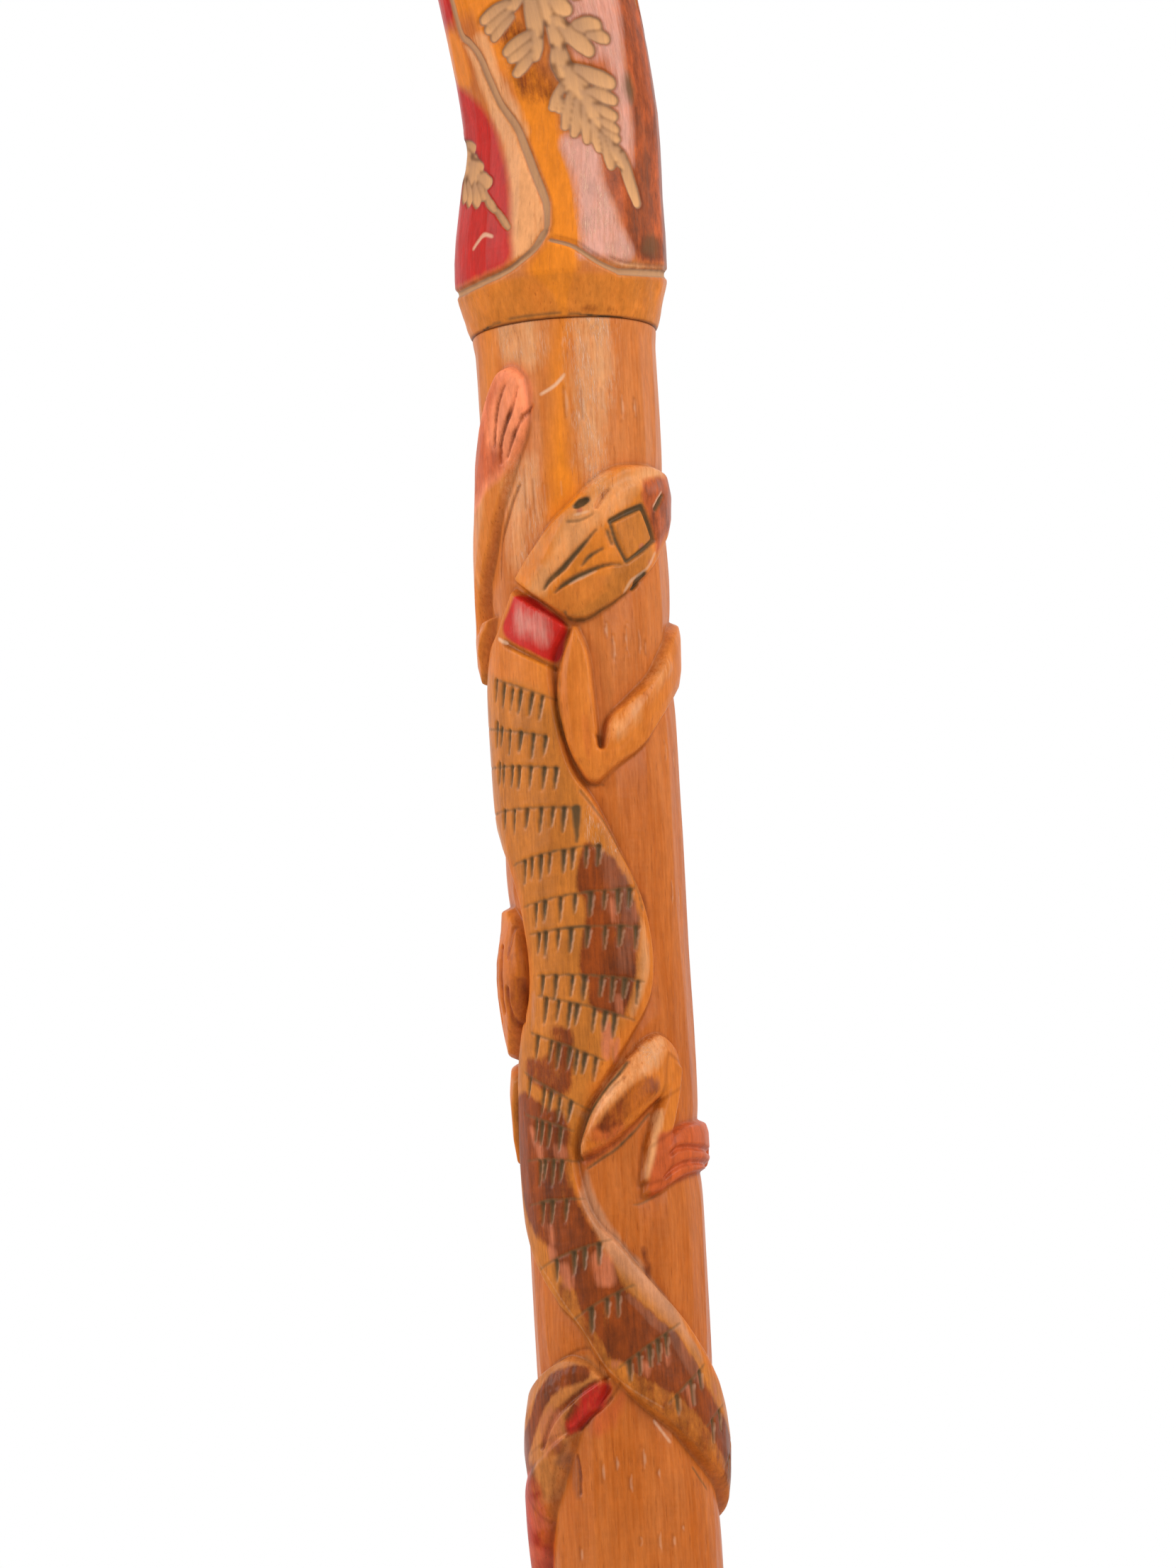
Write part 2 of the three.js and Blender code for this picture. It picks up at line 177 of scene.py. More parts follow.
def inside_depth(x, y, outline):
    """Signed distance to a closed outline, positive inside: the distance to its line, signed by crossings."""
    line = np.concatenate([outline, outline[:1]])
    inside = np.zeros(x.shape, bool)
    for (x0, y0), (x1, y1) in zip(line, line[1:]):
        if y0 != y1:
            inside ^= ((y0 > y) != (y1 > y)) & (x < x0 + (y - y0) * (x1 - x0) / (y1 - y0))
    return np.where(inside, 1.0, -1.0) * line_distance(x, y, line)[0]


def crown(points, rise=1.35):
    """Places seen on raised wood, given as angles on the plain round: asin(sin a R / (R + rise)), since the
    same sight line meets the larger round nearer to its middle."""
    places = np.array(points, float)
    turn = np.radians(np.clip(places[:, 0], -90.0, 90.0))
    raised = np.degrees(np.arcsin(np.sin(turn) * SHAFT_ROUND / (SHAFT_ROUND + rise)))
    places[:, 0] = np.where(np.abs(places[:, 0]) < 90.0, raised, places[:, 0])
    return places


def softened(values):
    """Each value blended with its neighbours, 1 2 1, round the wood and along it."""
    values = (np.roll(values, 1, axis=1) + 2.0 * values + np.roll(values, -1, axis=1)) / 4.0
    padded = np.concatenate([values[:1], values, values[-1:]])
    return (padded[:-2] + 2.0 * padded[1:-1] + padded[2:]) / 4.0


class Sheet:
    """An unrolled surface: raised forms, cuts into them, and one mask for each dye or mark."""

    def __init__(self, angles, runs, radius):
        self.angles, self.runs, self.radius = angles, runs, radius
        self.angle, self.run = np.meshgrid(angles, runs)
        shape = self.angle.shape
        self.raised, self.moat, self.cuts = np.zeros(shape), np.zeros(shape), np.zeros(shape)
        self.marks = {name: np.zeros(shape) for name in MARKS}
        turn = np.radians(self.angle)
        self.around = (radius * np.sin(turn), radius * np.cos(turn), self.run)

    def noise(self, size, seed, stretch=1.0):
        """Lumps over the sheet, longer along the run where stretch is over 1."""
        x, y, z = self.around
        return lumps(x, y, z / stretch, size, seed)

    def mark(self, name, mask, index=EVERYWHERE):
        """Keeps the stronger of a mark and a new mask."""
        self.marks[name][index] = np.maximum(self.marks[name][index], mask)

    def cut(self, depth, index=EVERYWHERE):
        """Keeps the deeper of the cuts and a new depth."""
        self.cuts[index] = np.minimum(self.cuts[index], -depth)

    def lift(self, height, depth, index=EVERYWHERE):
        """Raises a form. The ground round its outline sinks away by the moat, and the crease along the
        outline is darkened."""
        self.raised[index] = np.maximum(self.raised[index], height)
        self.moat[index] = np.minimum(self.moat[index], -MOAT * np.exp(np.minimum(depth, 0.0) / MOAT_FADE))
        self.mark("seam", 0.65 * np.exp(-((depth + 0.1) / 0.14) ** 2), index)

    def window(self, points, margin):
        """The part of the sheet near some points: its index, its x and y in millimetres, and the points
        there."""
        points = np.asarray(points, float)
        middle = (points[:, 0].min() + points[:, 0].max()) / 2
        reach = (points[:, 0].max() - points[:, 0].min()) / 2 + math.degrees(margin / self.radius)
        columns = np.nonzero(np.abs(wrap(self.angles - middle)) <= min(reach, 180.0))[0]
        low, high = points[:, 1].min() - margin, points[:, 1].max() + margin
        rows = np.nonzero((self.runs > low) & (self.runs < high))[0]
        index = np.ix_(rows, columns)
        x = np.radians(wrap(self.angle[index] - middle)) * self.radius
        places = np.column_stack([np.radians(points[:, 0] - middle) * self.radius, points[:, 1]])
        return index, x, self.run[index], places

    def form(self, stations, relief, profile, wall):
        """Raises a form between two edge lines. Its height is the relief, times each station's share, times
        the profile across from the first line to the second, times an eased wall at the outline."""
        rows = np.asarray(stations, float)
        first = rounded(rows[:, 0:2], False, EDGE_STEPS)
        second = rounded(rows[:, 2:4], False, EDGE_STEPS)
        index, x, y, places = self.window(np.concatenate([first, second[::-1]]), 7.0)
        depth = inside_depth(x, y, places)
        near, near_place = line_distance(x, y, places[:len(first)])
        far, far_place = line_distance(x, y, places[:len(first) - 1:-1])
        across = near / (near + far + 1e-9)
        along = (near_place + far_place) / (2 * EDGE_STEPS)
        for _ in range(8):
            along = softened(along)
        height = relief * np.interp(along, np.arange(len(rows)), rows[:, 4])
        self.lift(height * np.interp(across, profile[0], profile[1]) * smooth(depth / wall), depth, index)

    def ridge(self, points, width, height):
        """Lifts a crest on raised wood: a roof of that height and half width along a line."""
        index, x, y, places = self.window(bent(points), width)
        distance = line_distance(x, y, places)[0]
        lift = height * np.clip(1.0 - distance / width, 0.0, 1.0)
        self.raised[index] += lift * smooth(self.raised[index] / 0.5)

    def stroke(self, points, widths, depth, mark, strength, knife=False, fade=False):
        """Cuts along a line: the cut is the depth times sqrt(1 - q^2), or 1 - q for a knife, with q the
        distance from the line over the half width there. A fading stroke gets shallower towards its end."""
        index, x, y, places = self.window(points, max(widths) * 1.2 + 0.3)
        distance, place = line_distance(x, y, places)
        share = place / (len(places) - 1)
        q = distance / np.interp(share, np.linspace(0.0, 1.0, len(widths)), widths)
        fall = 1.0 - 0.5 * share if fade else 1.0
        section = (1.0 - np.clip(q, 0, 1)) if knife else np.sqrt(1.0 - np.clip(q, 0, 1) ** 2)
        self.cut(depth * fall * section, index)
        self.mark(mark, strength * (1.0 - smooth((q - 0.7) / 0.45)) * (0.45 + 0.55 * fall), index)

    def line(self, points, widths, depth, mark, strength, knife=False):
        """A stroke bent smoothly through its points."""
        self.stroke(bent(points), widths, depth, mark, strength, knife)

    def lines(self, rows):
        """Cuts one smooth line for each row."""
        for mark, strength, depth, widths, *points in rows:
            self.line(pairs(points), widths, depth, mark, strength)

    def notch(self, angle, top, length, half, lean=-1.5, strength=0.9):
        """A scale: a slender cut with a round end that fades downwards, inked inside, with a pale lip on its
        right, which is scraped wood and a painted highlight where light catches the edge."""
        low = (angle + lean, top + length)
        self.stroke([(angle, top), low], (half, 0.95 * half, 0.55 * half), 0.45, "olive", strength, fade=True)
        # the pale lip is partly a painted highlight on the lit edge of the cut
        lip = math.degrees((half + 0.13) / self.radius)
        self.stroke([(angle + lip, top + 0.3), (low[0] + 0.55 * lip, low[1])], (0.13, 0.1), 0.0, "pale", 0.5)

    def dye(self, rows):
        """Stains inside each row's outline: its strength times 1/2 + depth over twice the softness."""
        for mark, strength, soft, *outline in rows:
            index, x, y, places = self.window(rounded(pairs(outline), steps=4), soft * 2)
            depth = inside_depth(x, y, places)
            self.mark(mark, strength * np.clip(0.5 + depth / (2 * soft), 0.0, 1.0), index)

    def spray(self, lobes):
        """A leaf of gouge cuts, each narrow at its base and round at its tip. With q the least distance over
        the half width of any cut, the depth is sqrt(1 - q^2), and dark lines part neighbouring cuts."""
        index, x, y, places = self.window(pairs([row[:4] for row in lobes]), 2.5)
        least, second = np.full(x.shape, 9.0), np.full(x.shape, 9.0)
        along = np.zeros(x.shape)
        for number, (base, tip) in enumerate(places.reshape(-1, 2, 2)):
            side = np.array([base[1] - tip[1], tip[0] - base[0]]) / max(np.linalg.norm(tip - base), 1e-6)
            swing = side * 0.15 * math.sin(2.4 * number)
            distance, place = line_distance(x, y, [base, (base + tip) / 2 + swing, tip])
            half = lobes[number][4] * np.interp(place, [0.0, 0.7, 1.5, 2.0], [0.72, 0.95, 1.0, 0.8])
            q = distance / (1.25 * half)
            second = np.minimum(second, np.maximum(least, q))
            along = np.where(q < least, place / 2, along)
            least = np.minimum(least, q)
        self.cut(LEAF_DEPTH * np.sqrt(1.0 - np.clip(least, 0, 1) ** 2), index)
        inside = 1.0 - smooth((least - 0.85) / 0.3)
        parting = inside * (1.0 - smooth((second - least - 0.04) / 0.26)) * smooth((least - 0.3) / 0.3)
        self.mark("leaf", inside * (0.75 + 0.25 * along), index)
        self.mark("seam", np.maximum(0.95 * parting, 0.9 * np.exp(-((least - 1.04) / 0.13) ** 2)), index)

    def whittle(self, seed, width=24.0, length=46.0):
        """Knife facets: the least of many planes, each R (1/cos(turn) - 1) off its middle plus a slow
        parabola along the run, so that long flats meet in soft ridges. It is 0 on the ridges and lower on the
        flats."""
        least = np.full(self.angle.shape, 9.0)
        pace = length * 0.55
        for rank in range(-2, int(round(self.runs[-1] / pace)) + 3):
            shifts = np.random.default_rng(seed * 977 + rank + 500).uniform(-0.5, 0.5, (int(360 / width), 3))
            for place, (turn, slide, deep) in enumerate(shifts):
                middle = (place + (rank % 2) * 0.5 + 0.7 * turn) * width - 180.0
                run = (rank + 0.8 * slide) * pace
                part = slice(*np.searchsorted(self.runs, (run - length, run + length)))
                cosine = np.maximum(np.cos(np.radians(wrap(self.angles - middle))), 0.3)
                across = self.radius * (1.0 / cosine - 1.0)
                along = 0.11 * ((self.runs[part] - run) / (length * 0.5)) ** 2
                least[part] = np.minimum(least[part], across[None, :] + along[:, None] + 0.05 * deep)
        return np.minimum(least, FACET_DEPTH) - FACET_DEPTH


# The lizard on the shaft: each row has two edge points, as angle and drop, and its share of the relief
LIZARD_RELIEF = 2.4
BODY = (
    (-46, 37.5, -8, 44, 0.5), (-61, 42.6, -19, 48.7, 0.52), (-80, 46.1, -19, 54, 0.54),
    (-96, 52.8, -15, 60.2, 0.55), (-99, 61.6, -9, 64.8, 0.55), (-93, 68.6, 3, 69.3, 0.55),
    (-78, 73.2, 16, 75.7, 0.56), (-66, 77.4, 27, 81, 0.57), (-57, 82.7, 34, 86.6, 0.58),
    (-52, 89.8, 36, 91.9, 0.58), (-54, 95.9, 32, 97.1, 0.57), (-65, 100.7, 18, 102.4, 0.55),
    (-74, 106.5, 0, 108.2, 0.52), (-78, 113.5, -16, 113.3, 0.49), (-80, 120, -23, 118.3, 0.47),
    (-79, 125.8, -19, 124.4, 0.45), (-71, 130.6, -11, 128.5, 0.44), (-58, 135.2, 1, 131.3, 0.44),
    (-43, 139.6, 15, 135.2, 0.45), (-28, 143.3, 30, 139, 0.47), (-12, 149.4, 44, 142.2, 0.52),
    (10, 154.4, 57, 145.6, 0.6), (30, 158, 70, 148.9, 0.7), (52, 162.3, 84, 152.4, 0.78),
    (77, 165.8, 100, 157, 0.78), (100, 168.4, 116, 162.3, 0.6), (120, 170, 126, 167.7, 0.35),
)
HEAD = (
    (-45, 36.6, -8, 43.3, 0.6), (-30, 32.7, 2, 43.5, 0.75), (-15, 28.9, 13, 42.4, 0.82),
    (0, 25.9, 25, 40.7, 0.84), (15, 22.9, 37, 38.7, 0.84), (30, 21.3, 47, 37.1, 0.8),
    (50, 20.8, 57, 35, 0.72), (66, 20.9, 68, 32.6, 0.62), (80, 21.3, 80, 30.3, 0.56),
    (92, 23.2, 92, 28.2, 0.4),
)
LEFT_ARM = (
    (-27, 8.1, -26, 11.6, 0.4), (-35, 6.2, -28, 15.5, 0.55), (-47, 6.5, -38, 20.1, 0.56),
    (-60, 10, -48, 24.5, 0.56), (-74, 15, -58, 29, 0.58), (-86, 20.4, -68, 32.9, 0.66),
    (-98, 26.9, -78, 35.9, 0.82), (-109, 35.9, -88, 38.9, 0.95), (-109, 45.9, -90, 41.4, 1),
    (-97, 50, -82, 40.5, 0.92), (-84, 47.5, -70, 40.5, 0.6),
)
RIGHT_ARM = (
    (-7, 44, -2, 44, 0.4), (-16, 49.5, 4, 48.2, 0.58), (-19, 54.4, 6, 53.5, 0.66), (-16, 59.5, 7, 58.1, 0.67),
    (-9, 63.9, 7.5, 61.1, 0.67), (2, 66.9, 8.5, 61.2, 0.66), (18, 64.4, 13, 57.4, 0.62),
    (38, 61.4, 28, 54.4, 0.58), (57, 56.8, 48, 50.5, 0.54), (75, 53.5, 68, 45.1, 0.52),
    (90, 51.6, 86, 42.6, 0.52), (104, 49.5, 102, 42.1, 0.5), (114, 47, 113, 44, 0.33),
)
RIGHT_THIGH = (
    (-21, 116.7, -22, 119.5, 0.35), (-12, 112.1, -10, 118.8, 0.58), (0, 108.6, 1, 117.6, 0.68),
    (12, 105.6, 14, 115.3, 0.71), (25, 103, 27, 112.6, 0.71), (38, 102.1, 38, 110.9, 0.7),
    (50, 104, 45, 110, 0.6), (54, 107, 50, 109.5, 0.4),
)
RIGHT_SHIN = (
    (39, 105.1, 54, 106.7, 0.5), (35, 110, 50, 110.5, 0.54), (28, 114, 45, 114.4, 0.5),
    (21, 118.4, 40, 117.9, 0.44), (17, 123.6, 36, 122.5, 0.35),
)
RIGHT_FOOT = (
    (24, 118.4, 18, 125.3, 0.3), (34, 116.9, 30, 124.8, 0.42), (50, 114.9, 48, 122.7, 0.52),
    (70, 114, 70, 121.4, 0.54), (90, 113.2, 90, 120.7, 0.54), (105, 112.8, 105, 120, 0.5),
    (116, 114, 116, 118.4, 0.33),
)
LEFT_FOOT = (
    (-92, 81.5, -70, 82.2, 0.45), (-100, 84.5, -60, 84.8, 0.75), (-104, 88.5, -54, 88.5, 0.95),
    (-105, 92.6, -52, 92, 1), (-104, 96.6, -57, 96.6, 0.97), (-101, 100, -70, 100.3, 0.8),
    (-98, 103.5, -84, 103.1, 0.5),
)
LEFT_LEG = (
    (-98, 87.1, -98, 96.1, 0.6), (-118, 87.5, -116, 95.6, 0.58), (-136, 89, -130, 95.9, 0.62),
    (-148, 95, -132, 98, 0.67), (-144, 104, -126, 100.5, 0.67), (-126, 111.6, -112, 102.6, 0.62),
    (-104, 117, -90, 104, 0.58), (-84, 119, -74, 106.5, 0.5),
)

# Each form with its profile: the height at shares of the way from the first edge line to the second
LIZARD_FORMS = (
    (BODY, ((0, 0.12, 0.35, 0.7, 0.9, 1), (0.6, 0.85, 1, 1, 0.85, 0.6)), 0.6),
    (HEAD, ((0, 0.3, 0.8, 1), (0.55, 1, 0.8, 0.45)), 0.6),
    (LEFT_ARM, ((0, 0.3, 0.7, 1), (0.7, 1, 0.95, 0.5)), 0.7),
    (RIGHT_ARM, ((0, 0.35, 0.75, 1), (0.4, 0.9, 1, 0.75)), 0.6),
    (RIGHT_THIGH, ((0, 0.3, 0.75, 0.8, 1), (0.3, 1, 1, 0.95, 0.35)), 0.5),
    (RIGHT_SHIN, ((0, 0.3, 0.8, 1), (0.5, 1, 1, 0.6)), 0.6),
    (RIGHT_FOOT, ((0, 0.25, 0.7, 1), (0.6, 1, 1, 0.6)), 0.7),
    (LEFT_FOOT, ((0, 0.5, 0.85, 1), (0.8, 1, 0.9, 0.5)), 0.8),
    (LEFT_LEG, ((0, 0.3, 0.7, 1), (0.6, 1, 1, 0.6)), 0.8),
)

# Scale rows across the back: the ends of the ink line, as angle and drop, and the angles of the notches under
# it
SCALE_ROWS = (
    (-80, 50, -20, 54.5, -79, -64, -54, -46, -37, -29.5),
    (-90, 56, -27, 59.5, -88, -72, -59.5, -47.6, -37.6, -28.4),
    (-90, 61.8, -20, 64.2, -88, -73.5, -59.7, -51.5, -41, -30.7, -22.3),
    (-90, 68.5, -10, 70, -79, -60.5, -46.7, -34.7, -25.9, -18.2),
    (-68, 76.8, 5, 75.5, -52, -45, -37, -30, -20, -14, -5, 3),
    (-57, 83, 26, 81.8, -44, -36, -24, -14, -4, 5, 14, 22),
    (-52, 87, 28, 87.2, -43, -37, -27, -18, -7, 4, 14, 25),
    (-47, 93, 29, 95, -42, -31, -19, -11, 0, 7, 15, 24),
    (-48, 95.8, 21, 100.5, -40, -30, -22, -17, -6, 1, 7),
    (-57, 100.8, -1, 106, -50, -38, -32, -24, -19, -14, -7),
    (-72, 106, -12, 113, -62, -47, -41, -34, -26),
    (-75, 112, -25, 115.5, -57, -51, -44, -35),
    (-75, 118.5, -25, 119.7, -56, -51, -43, -36),
    (-78, 124.8, -22, 125, -56, -46, -34),
)
TAIL_ROWS = (
    (-56, 134, -3, 131, -40, -27, -20, -11), (-31, 141.8, 9, 137.5, -18, -8, -1.5),
    (-3, 149, 37, 143, 3, 9, 15.5, 21, 26.5), (25, 154.3, 55, 148.5, 31, 41.5, 49),
    (51, 157.5, 72, 154, 57, 66), (70, 163, 92, 158, 78, 86),
)

# Dyes on the lizard, and pale rows that paint highlights on its crests: the mark, its strength, the softness
# of its edge in millimetres, and its outline as angle and drop in turn
LIZARD_DYES_AND_HIGHLIGHTS = (
    ("ochre", 0.8, 0.9, -100, 49, -60, 50, -20, 54, -16, 62, -8, 66, 0, 71, 8, 73.5, 17, 78, 24, 84, 26, 90,
     22, 97, -2, 105.5, -16, 113, -24, 120, -24, 126, -12, 131, 0, 135, 28, 142, 52, 148, 85, 155, 110, 164,
     118, 168, 90, 166, 60, 162, 28, 157, 10, 154, -12, 149, -30, 143, -44, 139.5, -60, 134, -73, 130, -82,
     124, -82, 108, -72, 103, -50, 98, -46, 92, -49, 84, -58, 77, -84, 72, -100, 66),
    ("cream", 0.75, 0.6, 24.5, 86, 29, 88.5, 29, 91.5, 27, 94.7, 21, 98, 17, 100, 16, 98.5, 20.5, 95, 23.4,
     91),
    # pale fibres on the top of the body: painted sheen of a highlight
    ("fibres_and_sheen", 0.9, 0.7, -4, 70, 3, 71, 9, 73.5, 14.5, 76.3, 8, 77, 1, 76, -3, 74),
    ("umber", 0.95, 0.45, -4, 75.1, 2.5, 76.2, 11.5, 77.9, 16, 80, 19.5, 81.8, 22, 84, 24.5, 87.2, 23, 89.7,
     20.5, 92.4, 19, 94.6, 16.5, 96.6, 14, 98.3, 12, 99.9, 9, 99.6, -3, 99, -8.5, 97.3, -8, 95, -12.5, 93.8,
     -11.5, 90.8, -8.3, 87.5, -7, 84.8, -7.5, 83, -10.3, 82, -10.5, 80, -8.5, 77),
    ("plum", 0.6, 0.7, 3, 76.2, 11, 77.6, 17.5, 80.5, 20, 83.4, 24.5, 87.4, 19.5, 90.9, 16, 93.3, 10, 93.2,
     9.5, 88.4, 11, 83.6, 4.5, 82.2, 4, 79.2),
    ("umber", 0.8, 0.5, -32, 100.5, -20, 101.5, -20, 104.3, -24, 110, -40, 109.5, -55, 107, -55, 104.4, -40,
     104.6, -33, 103),
    ("salmon", 0.8, 0.5, -1, 100.5, 3, 100.8, 4.5, 103, 2, 105.6, -1.5, 105.2),
    ("umber", 1, 0.6, -26, 114.5, -26, 118, -27, 122.4, -23, 125, -18, 127.9, -11, 131.4, -7.5, 133.5, -1.5,
     135.9, 4.5, 138.5, 12, 140.3, 18.5, 141.8, 25.5, 143.1, 32.5, 144.6, 39, 146.6, 46.5, 149.2, 56, 152.5,
     70, 156, 90, 160, 92, 166, 70, 162, 56, 159, 44, 156, 33, 153.8, 20, 152, 5.5, 149.7, 0, 148.5, -8,
     147.9, -11, 146.4, -15, 144.5, -20, 142.5, -25, 140.4, -27, 138.2, -33, 136.3, -40, 134.2, -42, 132.1,
     -58, 129, -70, 124, -76, 118, -78, 110, -60, 109, -44, 111, -32, 112.5),
    ("tan", 0.9, 0.5, -18, 121, -13.5, 124.3, -7, 127.7, 0, 130, 8, 132.8, 16, 134.4, 22, 136.6, 29, 138.5,
     37, 141.6, 45, 145, 53, 148, 46.5, 148.6, 39, 146, 32.5, 144, 25.5, 142.5, 18.5, 141.2, 12, 139.7, 4.5,
     137.9, -1.5, 135.3, -7.5, 132.9, -11, 130.8, -18, 127.3, -22, 124.6),
    ("umber", 0.4, 0.6, -42, 138, -28, 142.6, -12, 149, 10, 154, 30, 157.6, 52, 162, 77, 165.4, 100, 168, 92,
     166, 70, 162, 56, 159, 44, 156, 33, 153.8, 20, 152, 5.5, 149.7, -8, 147.9, -15, 144.5, -25, 140.4, -33,
     136.3),
    ("tan", 0.7, 0.4, -42, 109.4, -31, 110.4, -14, 113.2, -14, 114.2, -31, 111.4, -42, 110.4),
    ("russet", 0.6, 0.7, 29.5, 111.2, 32.5, 111.6, 25.5, 113.4, 19.5, 114.8, 11.5, 116.4, 2, 118.2, -7, 119.2,
     -16.5, 120.5, -20.5, 119.4, -11.5, 117.9, 7.5, 116, 23.5, 113),
    # cream along the thigh's top edge: painted highlight
    ("cream", 0.58, 0.9, -22, 117, -13, 112.6, 0, 108.6, 14, 105.4, 27, 103, 38, 102.6, 30, 107, 10.5, 110.5,
     0.5, 112.6, -8, 114.8, -18, 119),
    # pale fibres on the thigh's top: painted highlight
    ("fibres_and_sheen", 0.7, 0.8, 20, 104, 33, 102.6, 34, 105.6, 22, 107),
    ("umber", 0.58, 0.4, 13, 109.7, 20, 108.7, 27, 108.6, 29.5, 110.1, 25, 111.6, 19, 112.8, 12, 114, 6.5,
     115, -0.5, 115.9, -6.5, 116, -9, 115.4, -4, 113.8, 5.5, 111.5),
    ("plum", 0.35, 0.5, 16, 108.9, 29, 108.3, 30, 110.5, 20, 110.6),
    ("russet", 0.6, 0.5, -11, 115.2, 6, 114.6, 6, 116.4, -11, 117.6),
    ("cream", 0.9, 0.5, 28.5, 113.7, 33, 113, 31.5, 114.9, 29, 117.3, 26.5, 119.9, 23, 122.3, 19, 122.8, 20.5,
     120.9, 23.5, 118.5, 26, 116.1),
    ("vermilion", 0.95, 0.5, 29.5, 116.6, 36, 116.2, 48, 115, 57, 114.3, 75, 113.8, 112, 113, 114, 119, 90,
     120.8, 63, 121.8, 45, 123, 38, 123.5, 30.5, 124.7, 24.5, 125.4, 21.5, 123.8, 24, 121.4, 27, 119.4),
    ("plum", 0.8, 0.4, 39, 116.6, 41.5, 116.8, 41, 118.2, 39, 118),
    ("scarlet", 0.85, 0.35, -38, 38.9, -31.5, 39.4, -20.5, 41.4, -12, 43, -9, 44.5, -11.5, 46.3, -13, 48, -17,
     49, -22.5, 48.6, -31.5, 47.3, -41, 46, -50.5, 44.5, -53, 42.8, -47, 40.8, -42, 39),
    ("violet", 0.48, 1.6, -40, 40.6, -30, 41, -21, 43, -21, 46.4, -30, 45.4, -42, 43.8),
    ("russet", 0.4, 0.5, -3, 57.5, 1, 57.5, 2, 62, -1, 63),
    # cream along the right arm's crest: painted highlight
    ("cream", 0.32, 1, 8, 61.6, 17, 61, 26, 59.3, 35, 57, 45, 54, 60, 50.6, 60, 48, 45, 51.4, 35, 54, 24, 56,
     13, 58, 7, 60),
    ("amber", 0.6, 0.8, -45, 37, -15, 29.2, 15, 23.2, 42, 22, 50, 31, 25, 37.2, 2, 38, -20, 40),
    ("ochre", 0.33, 0.8, -45, 37, -30, 33, -15, 29.2, 0, 26.2, 15, 23.2, 30, 21.6, 44, 22, 43, 26, 50, 31, 50,
     34.6, 37, 38, 25, 40.2, 13, 42, 2, 43, -8, 43, -30, 40),
    # cream along the head's bevel crest: painted highlight
    ("cream", 0.66, 0.9, -19, 34.6, -7, 29.4, 7.5, 26, 20, 24, 33, 22.3, 44, 21.6, 62, 21.2, 70, 22, 45, 23.8,
     33, 26.4, 30, 27.6, 18, 30, 10, 31.4, -4, 34.8, -14, 38.4, -22, 39.6, -34, 38.6),
    ("ochre", 0.7, 0.8, 20, 30.2, 30, 28.4, 41, 28, 49, 31.6, 40, 33.6, 29, 35, 22, 32.4),
    ("ochre", 0.9, 0.6, 18, 36.6, 30, 34.6, 46, 33, 50, 34.4, 34, 38, 16, 39.6),
    ("russet", 0.85, 0.6, 44.5, 23.6, 42, 25.2, 42.5, 26.5, 45, 27.9, 49, 30.2, 52, 32.4, 54, 33.5, 62, 32,
     75, 30, 92, 29, 97, 24, 85, 22, 67, 22.4, 53, 23),
    ("umber", 0.45, 0.8, 45, 24, 60, 23, 90, 23, 92, 27, 62, 31, 52, 32, 46, 28),
    ("violet", 0.2, 1, 46, 24, 60, 23, 90, 23, 90, 25, 62, 25.4, 47, 25.6),
    ("ochre", 0.95, 0.4, -7, 42.8, 1.5, 42, 7.5, 41, 15, 39.7, 21.5, 38.8, 27.5, 38.2, 31, 38, 32, 39.4, 26.5,
     40.2, 21, 41.1, 14.5, 41.9, 7, 42.9, 0.7, 43.3),
    ("umber", 0.3, 1, -60, 88, -54, 90, -54, 96, -60, 99, -66, 96),
    ("vermilion", 0.28, 1.2, -96, 84, -62, 84.4, -50, 86.5, -46.5, 91, -49, 95, -60, 100, -96, 100),
    ("violet", 0.25, 0.6, -47, 95.5, -43, 95.5, -46, 100.5, -50, 100.5),
    ("ochre", 0.3, 1.2, -98, 84, -62, 84.4, -50, 86.5, -46.5, 91, -49, 95, -60, 100, -98, 100),
    ("pale", 0.35, 0.8, -80, 71.5, -58, 83.5, -54, 83.5, -74, 71),
    ("coral", 0.95, 0.8, -25, 9, -38, 5.6, -52, 8, -64, 12, -82, 17, -80, 25, -60, 23, -42, 20.6, -28, 15),
    ("vermilion", 0.72, 1.3, -36, 7, -52, 8.6, -64, 12.6, -80, 18, -80, 24, -60, 22.4, -44, 20.6, -46, 18,
     -54, 16, -50, 12, -42, 9),
    ("cream", 0.25, 1.2, -50, 22, -62, 26, -74, 32, -84, 38, -84, 30, -74, 24, -62, 19),
    ("seam", 0.9, 0.5, 31, 82.6, 33, 82.8, 34.5, 85.5, 32.5, 85.3),
    ("umber", 0.7, 0.4, 16, 132.3, 19, 132.3, 20.5, 134, 22, 134.5, 21.5, 136.6, 18.5, 136.6, 16.5, 134.6),
    ("olive", 0.4, 0.4, 8.6, 137.8, 10.2, 137.8, 10.2, 139.3, 8.6, 139.3),
)

# Salmon patches where the dark dye was brushed thin
SALMON = (
    (6, 83.4, 10.5, 83.6, 11, 86.8, 7, 86), (20.5, 84, 23, 84.4, 22.8, 86.6, 21, 86),
    (8, 97, 10.5, 97.2, 11, 99.8, 8.5, 99.5), (3.5, 104.3, 8, 103, 7, 106, 3.5, 106),
    (-52, 116.5, -46, 116.8, -45, 119.5, -50, 119), (-36, 117, -28, 117.4, -27, 119.3, -35, 119.2),
    (-57, 114, -52, 114.5, -52, 117), (-51, 126.2, -48.5, 126.2, -47.5, 128.5, -50, 128.5),
    (-45, 128, -41.5, 128.4, -41, 130.8, -44, 130.4), (-48, 131, -42, 131.2, -40, 133, -46, 133),
    (-37, 134, -30, 134.2, -29, 137.4, -35, 137), (-16, 133.2, -6, 132.6, -2, 135.8, -4, 137.6, -14, 137.2),
    (-8, 148, -2, 148, -3, 149.2, -8, 148.9), (10, 148.5, 15, 148.8, 13, 150.5),
    (24, 146.5, 28, 147, 26, 149), (38, 152, 41, 152.6, 40, 155), (60, 150.5, 64, 152, 61, 154),
)
